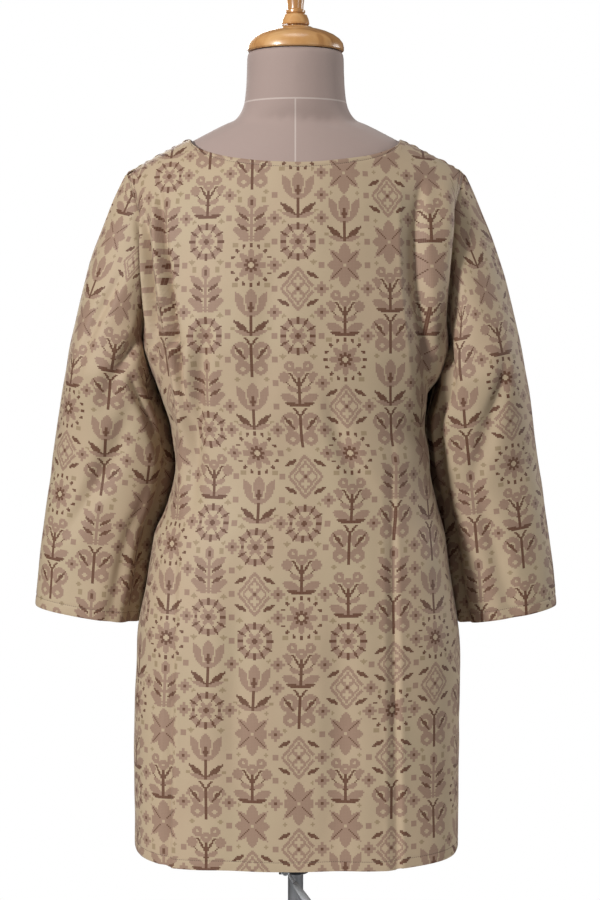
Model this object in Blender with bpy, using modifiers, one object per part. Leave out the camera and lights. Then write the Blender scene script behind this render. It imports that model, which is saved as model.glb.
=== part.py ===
"""A long tunic with three-quarter sleeves on a limbless dress form and its stand.

Metres, +Z up. The origin is on the floor under the pole, the garment's front faces -Y, and the wearer's left
is +X. Each cut piece of the tunic is a wall of cloth: its outer points lie on rings and arches worked out from
the tables below, and its inner points lie one wall thickness behind them.
"""

from collections import namedtuple
from math import cos, radians, sin, sqrt

import bmesh
import bpy
import numpy as np
from mathutils import Vector

# Driving dimensions of the cloth
WALL = 0.0015
SEAM_GAP = 0.0003
SHOULDER_SEAM_GAP = 0.00044
HEM_Z = 0.550
UNDERARM_Z = 1.150
NECK_HALF_WIDTH = 0.127
NECK_POINT_Z = 1.4013
SHOULDER_TIP_X = 0.204
SHOULDER_SLOPE = 0.536
SHOULDER_ROUNDING = 0.030
RIDGE_Y = 0.005
RIDGE_SHIFT_ANGLE = 40
SPREAD_POWER = 1.2
SEAM_BEHIND_RIDGE = 0.0075
BACK_NECK_Z = 1.3666
FRONT_NECK_Z = 1.300
NECK_SQUARENESS = {1: 2.3, -1: 2.0}
TUCK_COUNT = 7
TUCK_HEIGHT = 0.0026
TUCK_LENGTH = 0.110
TUCK_FADE = 0.060
TUCK_CREST = 0.75

# Grid sizes, per half panel where they say so
LOWER_ROWS = 12
NECK_COLUMNS = {1: 8, -1: 9}
BACK_SHOULDER_COLUMNS = 8
RISE_ANGLES = (0, 2, 5, 9, 15, 23, 32, 42, 52, 61, 69, 77, 84, 90)
EDGE_SAMPLES = 61
NORMAL_STEP = 0.0002
SLEEVE_CAP_RINGS = 6

# The tunic's ring at each height: half width, sideways shift, depth behind and before the pole, squareness
Section = namedtuple("Section", "z half_width shift back front square")
TUNIC = (
    Section(0.550, 0.1980, -0.001, 0.127, 0.135, 3.4),
    Section(0.700, 0.1982, -0.001, 0.127, 0.136, 3.2),
    Section(0.794, 0.1970, -0.004, 0.126, 0.136, 3.0),
    Section(0.867, 0.1860, -0.004, 0.122, 0.134, 2.8),
    Section(0.923, 0.1770, -0.005, 0.117, 0.131, 2.7),
    Section(0.960, 0.1640, -0.008, 0.112, 0.129, 2.6),
    Section(1.010, 0.1540, -0.009, 0.108, 0.128, 2.6),
    Section(1.050, 0.1540, -0.004, 0.108, 0.132, 2.5),
    Section(1.090, 0.1640, -0.002, 0.110, 0.139, 2.5),
    Section(1.150, 0.1850, 0.0, 0.115, 0.145, 2.4),
)
FORM = (
    Section(0.660, 0.1580, 0.0, 0.104, 0.108, 2.3),
    Section(0.720, 0.1680, 0.0, 0.112, 0.115, 2.3),
    Section(0.820, 0.1720, 0.0, 0.114, 0.116, 2.3),
    Section(0.900, 0.1600, 0.0, 0.105, 0.110, 2.3),
    Section(0.970, 0.1380, 0.0, 0.092, 0.101, 2.3),
    Section(1.030, 0.1310, 0.0, 0.088, 0.100, 2.3),
    Section(1.090, 0.1430, 0.0, 0.096, 0.118, 2.3),
    Section(1.150, 0.1620, 0.0, 0.109, 0.134, 2.4),
)

# The armhole's edge as a share of the half width, up each arch: it scoops in from the side seam
Armhole = namedtuple("Armhole", "angle share")
ARMHOLE = (
    Armhole(0, 1.0),
    Armhole(2, 0.9955),
    Armhole(5, 0.987),
    Armhole(9, 0.973),
    Armhole(15, 0.953),
    Armhole(30, 0.938),
    Armhole(48, 0.942),
    Armhole(65, 0.955),
    Armhole(90, 0.966),
)

# A fold's path down the panel at three heights, its half width and its depth into the cloth
Fold = namedtuple("Fold", "side x_top z_top x_mid z_mid x_low z_low half_width depth")
FOLDS = (
    Fold(1, -0.125, 1.345, -0.129, 1.195, -0.141, 1.075, 0.017, 0.0050),
    Fold(1, -0.113, 1.010, -0.1165, 0.805, -0.121, 0.520, 0.009, 0.0022),
    Fold(1, 0.158, 1.300, 0.143, 1.195, 0.127, 1.050, 0.016, 0.0045),
    Fold(1, 0.139, 0.900, 0.145, 0.800, 0.151, 0.520, 0.009, 0.0020),
    Fold(-1, 0.098, 1.270, 0.106, 1.120, 0.118, 0.960, 0.018, 0.0045),
    Fold(-1, -0.104, 1.250, -0.110, 1.090, -0.120, 0.930, 0.018, 0.0050),
    Fold(-1, 0.060, 0.960, 0.074, 0.760, 0.084, 0.520, 0.020, 0.0040),
    Fold(-1, -0.070, 0.930, -0.082, 0.740, -0.094, 0.520, 0.020, 0.0035),
)
FOLD_FADE = 0.060

# A sleeve's ring below the armhole: height of its inner end, outer edge, centre from back to front, half depth
Ring = namedtuple("Ring", "z outer_x y half_depth")
SLEEVE = (
    Ring(1.105, 0.2795, -0.008, 0.0660),
    Ring(1.065, 0.2880, -0.018, 0.0640),
    Ring(1.020, 0.2960, -0.028, 0.0620),
    Ring(0.970, 0.3035, -0.034, 0.0595),
    Ring(0.915, 0.3120, -0.034, 0.0560),
    Ring(0.865, 0.3190, -0.032, 0.0530),
    Ring(0.8155, 0.3237, -0.030, 0.0505),
)
SLEEVE_TILT_RISE = 0.021
SLEEVE_SQUARENESS = 2.2
SLEEVE_CLEARANCE = 0.0022
SLEEVE_RINGS_BELOW = 9
SLEEVE_AXIS = Vector((0.16, -0.05, -1.0))

# Where the sleeve's cloth sets out from the armhole, by the share of the way from underarm to shoulder tip
Setting = namedtuple("Setting", "share out side down")
SETTINGS = (
    Setting(0.00, 0.85, 0.00, 0.50),
    Setting(0.25, 0.80, 0.12, 0.60),
    Setting(0.50, 0.58, 0.12, 0.82),
    Setting(0.75, 0.47, 0.05, 0.88),
    Setting(1.00, 0.48, 0.00, 0.88),
)

# A sleeve's drag fold: place round the sleeve at its two ends in degrees from the inner edge over the back,
# share of the length where it starts and ends, half width in degrees, depth
Drag = namedtuple("Drag", "turn_top turn_low start end half_width depth")
DRAGS = (
    Drag(38, 100, 0.10, 0.50, 16, 0.0050),
    Drag(70, 128, 0.30, 0.75, 15, 0.0040),
    Drag(52, 60, 0.55, 0.95, 14, 0.0035),
    Drag(318, 256, 0.12, 0.52, 16, 0.0045),
    Drag(290, 238, 0.40, 0.85, 15, 0.0040),
)

# Dress form and stand
FORM_LOWERING = 0.0032
FORM_SHOULDER_X = 0.188
FORM_LOWER_ROWS = 10
FORM_ARCH_ROWS = 10
FORM_HALF_COLUMNS = 12
NECK_BASE_Z = 1.4225
NeckRing = namedtuple("NeckRing", "z half_width half_depth")
FORM_NECK = (
    NeckRing(1.4228, 0.0780, 0.0480),
    NeckRing(1.4270, 0.0700, 0.0520),
    NeckRing(1.4350, 0.0645, 0.0540),
    NeckRing(1.4450, 0.0615, 0.0545),
    NeckRing(1.4700, 0.0590, 0.0540),
    NeckRing(1.5050, 0.0585, 0.0535),
)
NECK_SIDES = 28
CAP_BASE_Z = 1.5053
CAP_RADIUS = 0.0583
CAP_FLATTENING = 0.915
FINIAL_BASE_Z = 1.5347
ROD_RADIUS = 0.0075
ROD_BOTTOM_Z = 0.250
TUBE_RADIUS = 0.0095
TUBE_BORE = 0.0081
TUBE_TOP_Z = 0.530
COLLAR_RADIUS = 0.0170
COLLAR_Z = (0.502, 0.528)
LEVER_X = 0.0125
LEVER_Z = 0.512
LEVER_FACE_Y = 0.0210
LEVER_LEAN = radians(214)
PIN_RADIUS = 0.0025
PIN_LENGTH = 0.0070
BLOCK_HALF_WIDTH = 0.008
BLOCK_INNER_Y = 0.004
BASE_RADIUS = 0.190
SOCKET_FLOOR_Z = 0.012
HUB_TOP_Z = 0.048
RUNNING_GAP = 0.00035


def curve_through(table, at, column):
    """A smooth value of one column of a table between its rows, with no overshoot."""
    places = np.array([row[0] for row in table], float)
    values = np.array([getattr(row, column) for row in table], float)
    slopes = np.diff(values) / np.diff(places)
    tangents = np.zeros_like(values)
    tangents[0], tangents[-1] = slopes[0], slopes[-1]
    for i in range(1, len(values) - 1):
        if slopes[i - 1] * slopes[i] > 0:
            tangents[i] = 2 * slopes[i - 1] * slopes[i] / (slopes[i - 1] + slopes[i])
    i = int(np.clip(np.searchsorted(places, at) - 1, 0, len(places) - 2))
    span = places[i + 1] - places[i]
    t = float(np.clip((at - places[i]) / span, 0, 1))
    return (
        values[i] * (1 + 2 * t) * (1 - t) ** 2
        + values[i + 1] * t * t * (3 - 2 * t)
        + span * (tangents[i] * t * (1 - t) ** 2 - tangents[i + 1] * t * t * (1 - t))
    )


def section_at(table, z):
    values = [curve_through(table, z, column) for column in Section._fields[1:]]
    return Section(z, *values)


def ease(t):
    t = min(max(t, 0.0), 1.0)
    return t * t * (3 - 2 * t)


def power(value, exponent):
    return max(value, 0.0) ** exponent


def half_ring(section, side, share):
    """A point on the back (side 1) or front (side -1) of a ring, by its share of the cloth's way from the
    middle (0) to a side seam (-1 or 1)."""
    turns = np.linspace(-1, 1, 241) * np.pi / 2
    depth = section.back if side > 0 else section.front
    exponent = 2 / section.square
    xs = section.half_width * np.sign(turns) * np.abs(np.sin(turns)) ** exponent
    ys = side * depth * np.abs(np.cos(turns)) ** exponent
    steps = np.hypot(np.diff(xs), np.diff(ys))
    way = np.concatenate([[0], np.cumsum(steps)])
    way = 2 * way / way[-1] - 1
    return float(np.interp(share, way, xs)) + section.shift, float(np.interp(share, way, ys))


def ridge_height(x):
    """Height of the shoulder's ridge over a place across the body."""
    rounded = sqrt(NECK_HALF_WIDTH**2 + SHOULDER_ROUNDING**2) - sqrt(x * x + SHOULDER_ROUNDING**2)
    return NECK_POINT_Z + SHOULDER_SLOPE * rounded


class Arch:
    """The upper body from the underarm's height over the shoulder's ridge, as one arch at each place across."""

    def __init__(self, base, shoulder_half_width, lowering, squareness):
        self.base = base
        self.spread = shoulder_half_width - base.half_width
        self.lowering = lowering
        self.squareness = squareness

    def half_width(self, angle):
        return self.base.half_width + self.spread * power(sin(radians(angle)), SPREAD_POWER)

    def depth(self, side, x, angle):
        share = min(abs(x) / self.half_width(angle), 1.0)
        full = self.base.back if side > 0 else self.base.front
        return full * power(1 - share**self.base.square, 1 / self.base.square)

    def point(self, side, x, angle):
        """The angle runs from 0 at the underarm's height to 90 on the ridge, and past it to the other side."""
        if angle > 90:
            side, angle = -side, 180 - angle
        rise = radians(angle)
        out = power(cos(rise), 2 / self.squareness) * self.depth(side, x, angle)
        top = ridge_height(x) - self.lowering
        y = ease(angle / RIDGE_SHIFT_ANGLE) * RIDGE_Y + side * out
        z = self.base.z + (top - self.base.z) * power(sin(rise), 2 / self.squareness)
        return Vector((x, y, z))

    def angle_at_height(self, x, z):
        share = (z - self.base.z) / (ridge_height(x) - self.lowering - self.base.z)
        return np.degrees(np.arcsin(min(power(share, self.squareness / 2), 1.0)))

    def angle_behind_ridge(self, x, distance):
        """The angle on the back whose point lies this far behind the ridge, found in a few rounds."""
        angle = 88.0
        for _ in range(5):
            share = distance / self.depth(1, x, angle)
            angle = np.degrees(np.arccos(power(share, self.squareness / 2)))
        return angle


TUNIC_ARCH = Arch(section_at(TUNIC, UNDERARM_Z), SHOULDER_TIP_X / ARMHOLE[-1].share, 0.0, 2.3)
FORM_ARCH = Arch(section_at(FORM, UNDERARM_Z), FORM_SHOULDER_X, FORM_LOWERING, 2.05)


def neck_edge(side):
    """Half of the neck's edge from the middle to the shoulder seam: places across and angles up the arch."""
    exponent = 2 / NECK_SQUARENESS[side]
    low = BACK_NECK_Z if side > 0 else FRONT_NECK_Z
    seam = seam_angle(side, NECK_HALF_WIDTH)
    places = []
    for turn in np.linspace(0, np.pi / 2, EDGE_SAMPLES):
        x = NECK_HALF_WIDTH * power(sin(turn), exponent)
        z = low + (NECK_POINT_Z - low) * (1 - power(cos(turn), exponent))
        angle = TUNIC_ARCH.angle_at_height(x, z)
        if angle < seam:
            places.append((x, angle))
    for angle in np.linspace(places[-1][1], seam, 6)[1:]:
        places.append((NECK_HALF_WIDTH, angle))
    return places


def seam_angle(side, x):
    """How far up its arch a panel meets the shoulder seam, half a gap short of it."""
    gap = side * SHOULDER_SEAM_GAP / 2
    angle = TUNIC_ARCH.angle_behind_ridge(x, SEAM_BEHIND_RIDGE + gap)
    return angle if side > 0 else 180 - angle


def way_along(points):
    """Each point's share of the way along a line of points."""
    steps = np.linalg.norm(np.diff(np.array(points), axis=0), axis=1)
    way = np.concatenate([[0], np.cumsum(steps)])
    return way / way[-1]


def shoulder_shares(side):
    """Places along the shoulder from the neck point (0) to the tip (1), one for each column."""
    if side > 0:
        return [(i + 1) / BACK_SHOULDER_COLUMNS for i in range(BACK_SHOULDER_COLUMNS)]
    shares = []
    for tuck in range(TUCK_COUNT):
        shares += [(tuck + TUCK_CREST) / TUCK_COUNT, (tuck + 1) / TUCK_COUNT]
    return shares


def half_top(side):
    """A half panel's whole upper edge as (x, angle) places, and the way along it of each of its columns."""
    neck = neck_edge(side)
    shoulder = []
    for x in np.linspace(NECK_HALF_WIDTH, SHOULDER_TIP_X, EDGE_SAMPLES)[1:]:
        shoulder.append((x, seam_angle(side, x)))
    edge = neck + shoulder
    way = way_along([TUNIC_ARCH.point(side, x, angle) for x, angle in edge])
    neck_end = way[len(neck) - 1]
    shares = list(np.linspace(0, neck_end, NECK_COLUMNS[side] + 1))
    shares += [neck_end + (1 - neck_end) * along for along in shoulder_shares(side)]
    return edge, shares


def fold_depth(side, x, z):
    depth = 0.0
    for fold in FOLDS:
        if fold.side != side or not fold.z_low < z < fold.z_top:
            continue
        heights = (fold.z_low, fold.z_mid, fold.z_top)
        path = np.interp(z, heights, (fold.x_low, fold.x_mid, fold.x_top))
        fade = ease((fold.z_top - z) / FOLD_FADE) * ease((z - fold.z_low) / FOLD_FADE)
        depth -= fold.depth * fade * np.exp(-(((x - path) / fold.half_width) ** 2))
    return depth


def lower_point(side, share, z):
    section = section_at(TUNIC, z)
    x, y = half_ring(section, side, share)
    return Vector((x, y, z))


def lower_normal(side, share, z):
    across = lower_point(side, min(share + 0.01, 1), z) - lower_point(side, max(share - 0.01, -1), z)
    if abs(share) > 0.9999:
        across = Vector((0, -side * share, 0))
    low, high = max(z - 0.005, HEM_Z), min(z + 0.005, UNDERARM_Z)
    up = lower_point(side, share, high) - lower_point(side, share, low)
    return (across.cross(up) * -side).normalized()


def upper_normal(side, x, angle):
    inner = x - np.sign(x) * NORMAL_STEP
    outer = x + np.sign(x) * NORMAL_STEP if abs(x) < 0.98 * TUNIC_ARCH.half_width(angle) else x
    if x == 0:
        inner, outer = -NORMAL_STEP, NORMAL_STEP
    across = TUNIC_ARCH.point(side, outer, angle) - TUNIC_ARCH.point(side, inner, angle)
    if x < 0:
        across = -across
    low = max(angle - 0.5, 0.0)
    up = TUNIC_ARCH.point(side, x, angle + 0.5) - TUNIC_ARCH.point(side, x, low)
    return (across.cross(up) * -side).normalized()


def armhole_share(angle):
    return curve_through(ARMHOLE, angle, "share")


def row_places(side, edge, top_shares, up):
    """The half row's (x, angle) places: even shares of the way at the underarm, and the top edge's own at the
    top."""
    places = []
    for x, angle in edge:
        angle *= up
        flat = min(angle, 180 - angle)
        places.append((x / SHOULDER_TIP_X * armhole_share(flat) * TUNIC_ARCH.half_width(flat), angle))
    way = way_along([TUNIC_ARCH.point(side, x, angle) for x, angle in places])
    even = np.linspace(0, 1, len(top_shares))
    shares = even + (np.array(top_shares) - even) * ease(up)
    return np.interp(shares, way, [x for x, _ in places]), np.interp(shares, way, [a for _, a in places])


def panel(side):
    """Outer and inner points of the back (side 1) or front (side -1), as rows of columns from -X to +X."""
    edge, top_shares = half_top(side)
    count = len(top_shares)
    tucks = np.zeros(count)
    if side < 0:
        tucks[NECK_COLUMNS[side] + 1 :: 2] = TUCK_HEIGHT
    mirrored = [(-1, i) for i in range(count - 1, 0, -1)] + [(1, i) for i in range(count)]
    outer, inner = [], []
    for z in np.linspace(HEM_Z, UNDERARM_Z, LOWER_ROWS + 1)[:-1]:
        shares = [hand * i / (count - 1) for hand, i in mirrored]
        points = [lower_point(side, share, z) for share in shares]
        normals = [lower_normal(side, share, z) for share in shares]
        add_wall_row(outer, inner, side, points, normals, np.zeros(len(points)))
    for turn in RISE_ANGLES:
        xs, angles = row_places(side, edge, top_shares, turn / 90)
        points = [TUNIC_ARCH.point(side, hand * xs[i], angles[i]) for hand, i in mirrored]
        normals = [upper_normal(side, hand * xs[i], angles[i]) for hand, i in mirrored]
        if turn == 0:
            normals[0] = lower_normal(side, -1, UNDERARM_Z)
            normals[-1] = lower_normal(side, 1, UNDERARM_Z)
        rises = []
        for point, (_, i) in zip(points, mirrored):
            below_seam = TUNIC_ARCH.point(side, xs[i], edge[-1][1]).z - point.z
            rises.append(tucks[i] * ease((TUCK_LENGTH - below_seam) / TUCK_FADE))
        add_wall_row(outer, inner, side, points, normals, rises)
    return np.array(outer), np.array(inner)


def add_wall_row(outer, inner, side, points, normals, rises):
    """Moves a row's points by its folds and tucks, keeps it half a seam's gap from the side seams, and adds the
    inner points behind it."""
    moved = []
    for i, (point, normal, rise) in enumerate(zip(points, normals, rises)):
        shift = rise + fold_depth(side, point.x, point.z)
        place = point + normal * shift
        if i in (0, len(points) - 1):
            place.y += side * SEAM_GAP / 2 if point.z <= UNDERARM_Z + 1e-6 else 0.0
        moved.append(place)
    outer.append([tuple(place) for place in moved])
    inner.append([tuple(place - normal * WALL) for place, normal in zip(moved, normals)])


def unit(vectors):
    return vectors / np.linalg.norm(vectors, axis=-1, keepdims=True)


def armhole_loop(hand, back, front):
    """The armhole's outer points, from the underarm up the back to the shoulder tip and down the front, and the
    direction in which the panel's edge faces at each."""
    edge = -1 if hand > 0 else 0
    beside = -2 if hand > 0 else 1
    loops = []
    for wall in (0, 1):
        rows_back = back[wall][LOWER_ROWS:]
        rows_front = front[wall][LOWER_ROWS:]
        parts = []
        for column in (edge, beside):
            up = rows_back[:, column]
            down = rows_front[::-1, column]
            tip = (up[-1:] + down[:1]) / 2
            root = (up[:1] + down[-1:]) / 2
            parts.append(np.concatenate([root, up[1:-1], tip, down[1:-1]]))
        loops.append(parts)
    (outer, beside_outer), (inner, _) = loops
    along = np.roll(outer, -1, axis=0) - np.roll(outer, 1, axis=0)
    facing = unit(np.cross(outer - inner, along))
    facing *= np.sign(np.sum(facing * (outer - beside_outer), axis=1, keepdims=True))
    facing[0] = (0, 0, 1)
    return outer, facing


def body_edge(hand, z):
    section = section_at(TUNIC, z)
    return hand * section.shift + section.half_width


def sleeve_ring(hand, z, turns):
    """A full ring of the sleeve, at turns in degrees from its inner edge over the back."""
    inner_x = body_edge(hand, z) + SLEEVE_CLEARANCE
    rows = [Ring(-row.z, *row[1:]) for row in SLEEVE]
    outer_x, y, half_depth = (curve_through(rows, -z, column) for column in Ring._fields[1:])
    middle = (inner_x + outer_x) / 2
    half_width = (outer_x - inner_x) / 2
    points = []
    for turn in turns:
        exponent = 2 / SLEEVE_SQUARENESS
        across = -np.sign(cos(turn)) * power(abs(cos(turn)), exponent)
        back = np.sign(sin(turn)) * power(abs(sin(turn)), exponent)
        height = z + SLEEVE_TILT_RISE * (1 + across) / 2
        points.append((hand * (middle + half_width * across), y + half_depth * back, height))
    return np.array(points)


def turns_of(loop):
    """The angle round the sleeve for each point of the armhole, by its share of the way up each side."""
    tip = len(RISE_ANGLES) - 1
    steps = np.linalg.norm(np.diff(np.concatenate([loop, loop[:1]]), axis=0), axis=1)
    way = np.concatenate([[0], np.cumsum(steps)])
    up = way[: tip + 1] / way[tip]
    down = 1 + (way[tip + 1 : -1] - way[tip]) / (way[-1] - way[tip])
    return np.pi * np.concatenate([up, down])


def setting_out(hand, turn):
    share = 1 - abs(turn / np.pi - 1)
    out, side, down = (curve_through(SETTINGS, share, column) for column in Setting._fields[1:])
    side *= 1 if turn < np.pi else -1
    return unit(np.array((hand * out, side, -down)))


def sleeve_rows(hand, loop):
    """The sleeve's outer points, ring by ring from the armhole to the cuff."""
    turns = turns_of(loop)
    first = sleeve_ring(hand, SLEEVE[0].z, turns)
    reach = np.linalg.norm(first - loop, axis=1, keepdims=True)
    leave = np.array([setting_out(hand, turn) for turn in turns]) * reach
    axis = SLEEVE_AXIS.normalized()
    arrive = np.array((hand * axis.x, axis.y, axis.z)) * reach
    rows = []
    for i in range(SLEEVE_CAP_RINGS):
        t = i / SLEEVE_CAP_RINGS
        rows.append(
            loop * (1 + 2 * t) * (1 - t) ** 2
            + first * t * t * (3 - 2 * t)
            + leave * t * (1 - t) ** 2
            - arrive * t * t * (1 - t)
        )
    for z in np.linspace(SLEEVE[0].z, SLEEVE[-1].z, SLEEVE_RINGS_BELOW + 1):
        rows.append(sleeve_ring(hand, z, turns))
    return np.array(rows), turns


def ring_normals(rows, hand):
    """Normals of a tube of rings, from each point's neighbours."""
    around = np.roll(rows, -1, axis=1) - np.roll(rows, 1, axis=1)
    along = np.gradient(rows, axis=0)
    return unit(np.cross(around, along)) * hand


def drag_depth(turn, share):
    depth = 0.0
    degrees = np.degrees(turn)
    for drag in DRAGS:
        if not drag.start < share < drag.end:
            continue
        t = (share - drag.start) / (drag.end - drag.start)
        middle = drag.turn_top + (drag.turn_low - drag.turn_top) * t
        fade = sin(np.pi * t) ** 0.8
        depth -= drag.depth * fade * np.exp(-(((degrees - middle) / drag.half_width) ** 2))
    return depth


def sleeve(hand, back, front):
    """A sleeve's outer and inner points. Its top edge stands one seam gap off the panels' edge faces, and its
    wall there never turns back into the panels' walls."""
    loop, facing = armhole_loop(hand, back, front)
    rows, turns = sleeve_rows(hand, loop + facing * SEAM_GAP)
    normals = ring_normals(rows, hand)
    for i in range(1, len(rows)):
        share = i / (len(rows) - 1)
        depths = np.array([drag_depth(turn, share) for turn in turns])
        rows[i] += normals[i] * depths[:, None]
    inner = rows - normals * WALL
    behind = np.minimum(np.sum(-normals[0] * facing, axis=1, keepdims=True), 0)
    inner[0] = rows[0] + unit(-normals[0] - behind * facing) * WALL
    return rows, inner


def surface(coll, name, material, sheets, closed_round, capped):
    """A closed mesh from one or two grids of points. Two grids are a wall's outer and inner sides."""
    mesh = bmesh.new()
    corners = [[[mesh.verts.new(point) for point in row] for row in sheet] for sheet in sheets]
    height, width = len(sheets[0]), len(sheets[0][0])
    spans = width if closed_round else width - 1
    for sheet in corners:
        for i in range(height - 1):
            for j in range(spans):
                k = (j + 1) % width
                mesh.faces.new((sheet[i][j], sheet[i][k], sheet[i + 1][k], sheet[i + 1][j]))
    if len(corners) == 2:
        outer, inner = corners
        for row in (0, height - 1):
            for j in range(spans):
                k = (j + 1) % width
                mesh.faces.new((outer[row][j], outer[row][k], inner[row][k], inner[row][j]))
        for column in () if closed_round else (0, width - 1):
            for i in range(height - 1):
                mesh.faces.new(
                    (outer[i][column], outer[i + 1][column], inner[i + 1][column], inner[i][column])
                )
    for row in capped:
        mesh.faces.new(corners[0][row])
    bmesh.ops.remove_doubles(mesh, verts=mesh.verts, dist=1e-6)
    bmesh.ops.recalc_face_normals(mesh, faces=mesh.faces)
    data = bpy.data.meshes.new(name)
    mesh.to_mesh(data)
    mesh.free()
    return add_object(coll, name, data, material)


def add_object(coll, name, data, material):
    obj = bpy.data.objects.new(name, data)
    obj.data.materials.append(material)
    obj.data.shade_smooth()
    obj.data.set_sharp_from_angle(angle=radians(40))
    coll.objects.link(obj)
    return obj


def make_material(name, colour, roughness, metallic=0.0):
    material = bpy.data.materials.new(name)
    material.use_nodes = True
    shader = material.node_tree.nodes["Principled BSDF"]
    shader.inputs["Base Color"].default_value = (*colour, 1)
    shader.inputs["Roughness"].default_value = roughness
    shader.inputs["Metallic"].default_value = metallic
    return material


def make_tunic(coll):
    colours = {
        "back_panel": (0.42, 0.33, 0.21),
        "front_panel": (0.43, 0.34, 0.22),
        "sleeve_left": (0.41, 0.32, 0.20),
        "sleeve_right": (0.41, 0.32, 0.20),
    }
    back, front = panel(1), panel(-1)
    walls = {
        "back_panel": (back, False),
        "front_panel": (front, False),
        "sleeve_left": (sleeve(1, back, front), True),
        "sleeve_right": (sleeve(-1, back, front), True),
    }
    for name, (sheets, closed_round) in walls.items():
        surface(coll, name, make_material(name, colours[name], 0.75), sheets, closed_round, ())


def make_torso(coll):
    """The form's rings up to the underarm, then its arches closed along the shoulder's ridge and cut level
    under the neck."""
    shares = np.linspace(-1, 1, 2 * FORM_HALF_COLUMNS + 1)
    places = [(1, share) for share in shares] + [(-1, share) for share in shares[-2:0:-1]]
    rows = []
    for z in np.linspace(FORM[0].z, UNDERARM_Z, FORM_LOWER_ROWS + 1)[:-1]:
        section = section_at(FORM, z)
        rows.append([(*half_ring(section, side, share), z) for side, share in places])
    for i in range(FORM_ARCH_ROWS + 1):
        angle = 90 * i / FORM_ARCH_ROWS
        row = []
        for side, share in places:
            ground = half_ring(FORM_ARCH.base, side, share)[0] / FORM_ARCH.base.half_width
            across = ground + (share - ground) * ease(i / FORM_ARCH_ROWS)
            point = FORM_ARCH.point(side, across * FORM_ARCH.half_width(angle), angle)
            row.append((point.x, point.y, min(point.z, NECK_BASE_Z)))
        rows.append(row)
    material = make_material("cover_cloth", (0.40, 0.30, 0.26), 0.85)
    surface(coll, "form_torso", material, [rows], True, (0,))
    return material


def make_neck(coll, material):
    rows = []
    for ring in FORM_NECK:
        turns = [2 * np.pi * i / NECK_SIDES for i in range(NECK_SIDES)]
        rows.append(
            [(ring.half_width * cos(t), RIDGE_Y + ring.half_depth * sin(t), ring.z) for t in turns]
        )
    surface(coll, "form_neck", material, [rows], True, (0, len(rows) - 1))


def turned(coll, name, profile, material, steps, place=(0, 0, 0), stretch=(1, 1, 1)):
    """A turned piece from its profile of (radius, height) down its outer side. A profile that starts off the
    axis is a ring's, and closes on itself."""
    data = bpy.data.meshes.new(name)
    edges = [(i, i + 1) for i in range(len(profile) - 1)]
    if profile[0][0] > 0:
        edges.append((len(profile) - 1, 0))
    data.from_pydata([(radius, 0, height) for radius, height in profile], edges, [])
    obj = bpy.data.objects.new(name, data)
    obj.data.materials.append(material)
    coll.objects.link(obj)
    obj.location = place
    obj.scale = stretch
    screw = obj.modifiers.new("Turn", "SCREW")
    screw.axis = "Z"
    screw.angle = radians(360)
    screw.steps = steps
    screw.render_steps = steps
    screw.use_merge_vertices = True
    screw.merge_threshold = 1e-5
    screw.use_smooth_shade = True
    return obj


def arc(centre, radius, start, end, steps):
    """Points of a profile's round stretch, its angles in degrees from the outward direction."""
    angles = [radians(start + (end - start) * i / steps) for i in range(steps + 1)]
    return [(centre[0] + radius * cos(a), centre[1] + radius * sin(a)) for a in angles]


def make_neck_cap(coll):
    wood = make_material("turned_wood", (0.62, 0.36, 0.16), 0.35)
    rise = FINIAL_BASE_Z - SEAM_GAP - CAP_BASE_Z
    dome = [
        (CAP_RADIUS * sin(radians(a)), CAP_BASE_Z + 0.005 + (rise - 0.005) * cos(radians(a)))
        for a in (24, 38, 52, 66, 78, 90)
    ]
    profile = [(0, CAP_BASE_Z + rise), (0.020, CAP_BASE_Z + rise), *dome]
    profile += [(CAP_RADIUS, CAP_BASE_Z + 0.0015), (CAP_RADIUS - 0.0015, CAP_BASE_Z), (0, CAP_BASE_Z)]
    turned(coll, "neck_cap", profile, wood, 32, (0, RIDGE_Y, 0), (1, CAP_FLATTENING, 1))
    base = FINIAL_BASE_Z
    knob = arc((0.0, base + 0.062), 0.0155, 90, 0, 5)
    knob[0] = (0, base + 0.0775)
    profile = knob + [
        (0.0125, base + 0.044),
        (0.0098, base + 0.026),
        (0.0096, base + 0.021),
        (0.0118, base + 0.0195),
        (0.0118, base + 0.0170),
        (0.0100, base + 0.0155),
        (0.0138, base + 0.0140),
        (0.0168, base + 0.0040),
        (0.0160, base + 0.0025),
        (0.0094, base + 0.0020),
        (0.0094, base),
        (0, base),
    ]
    turned(coll, "finial", profile, wood, 20, (0, RIDGE_Y, 0))


def make_cylinder(coll, name, radius, low, high, material, sides=24):
    mesh = bmesh.new()
    bmesh.ops.create_cone(
        mesh, cap_ends=True, segments=sides, radius1=radius, radius2=radius, depth=high - low
    )
    bmesh.ops.translate(mesh, verts=mesh.verts, vec=(0, 0, (low + high) / 2))
    data = bpy.data.meshes.new(name)
    mesh.to_mesh(data)
    mesh.free()
    return add_object(coll, name, data, material)


def boolean(obj, operation, other):
    modifier = obj.modifiers.new(other.name, "BOOLEAN")
    modifier.operation = operation
    modifier.object = other
    modifier.solver = "EXACT"
    other.hide_render = True
    other.display_type = "WIRE"


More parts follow.
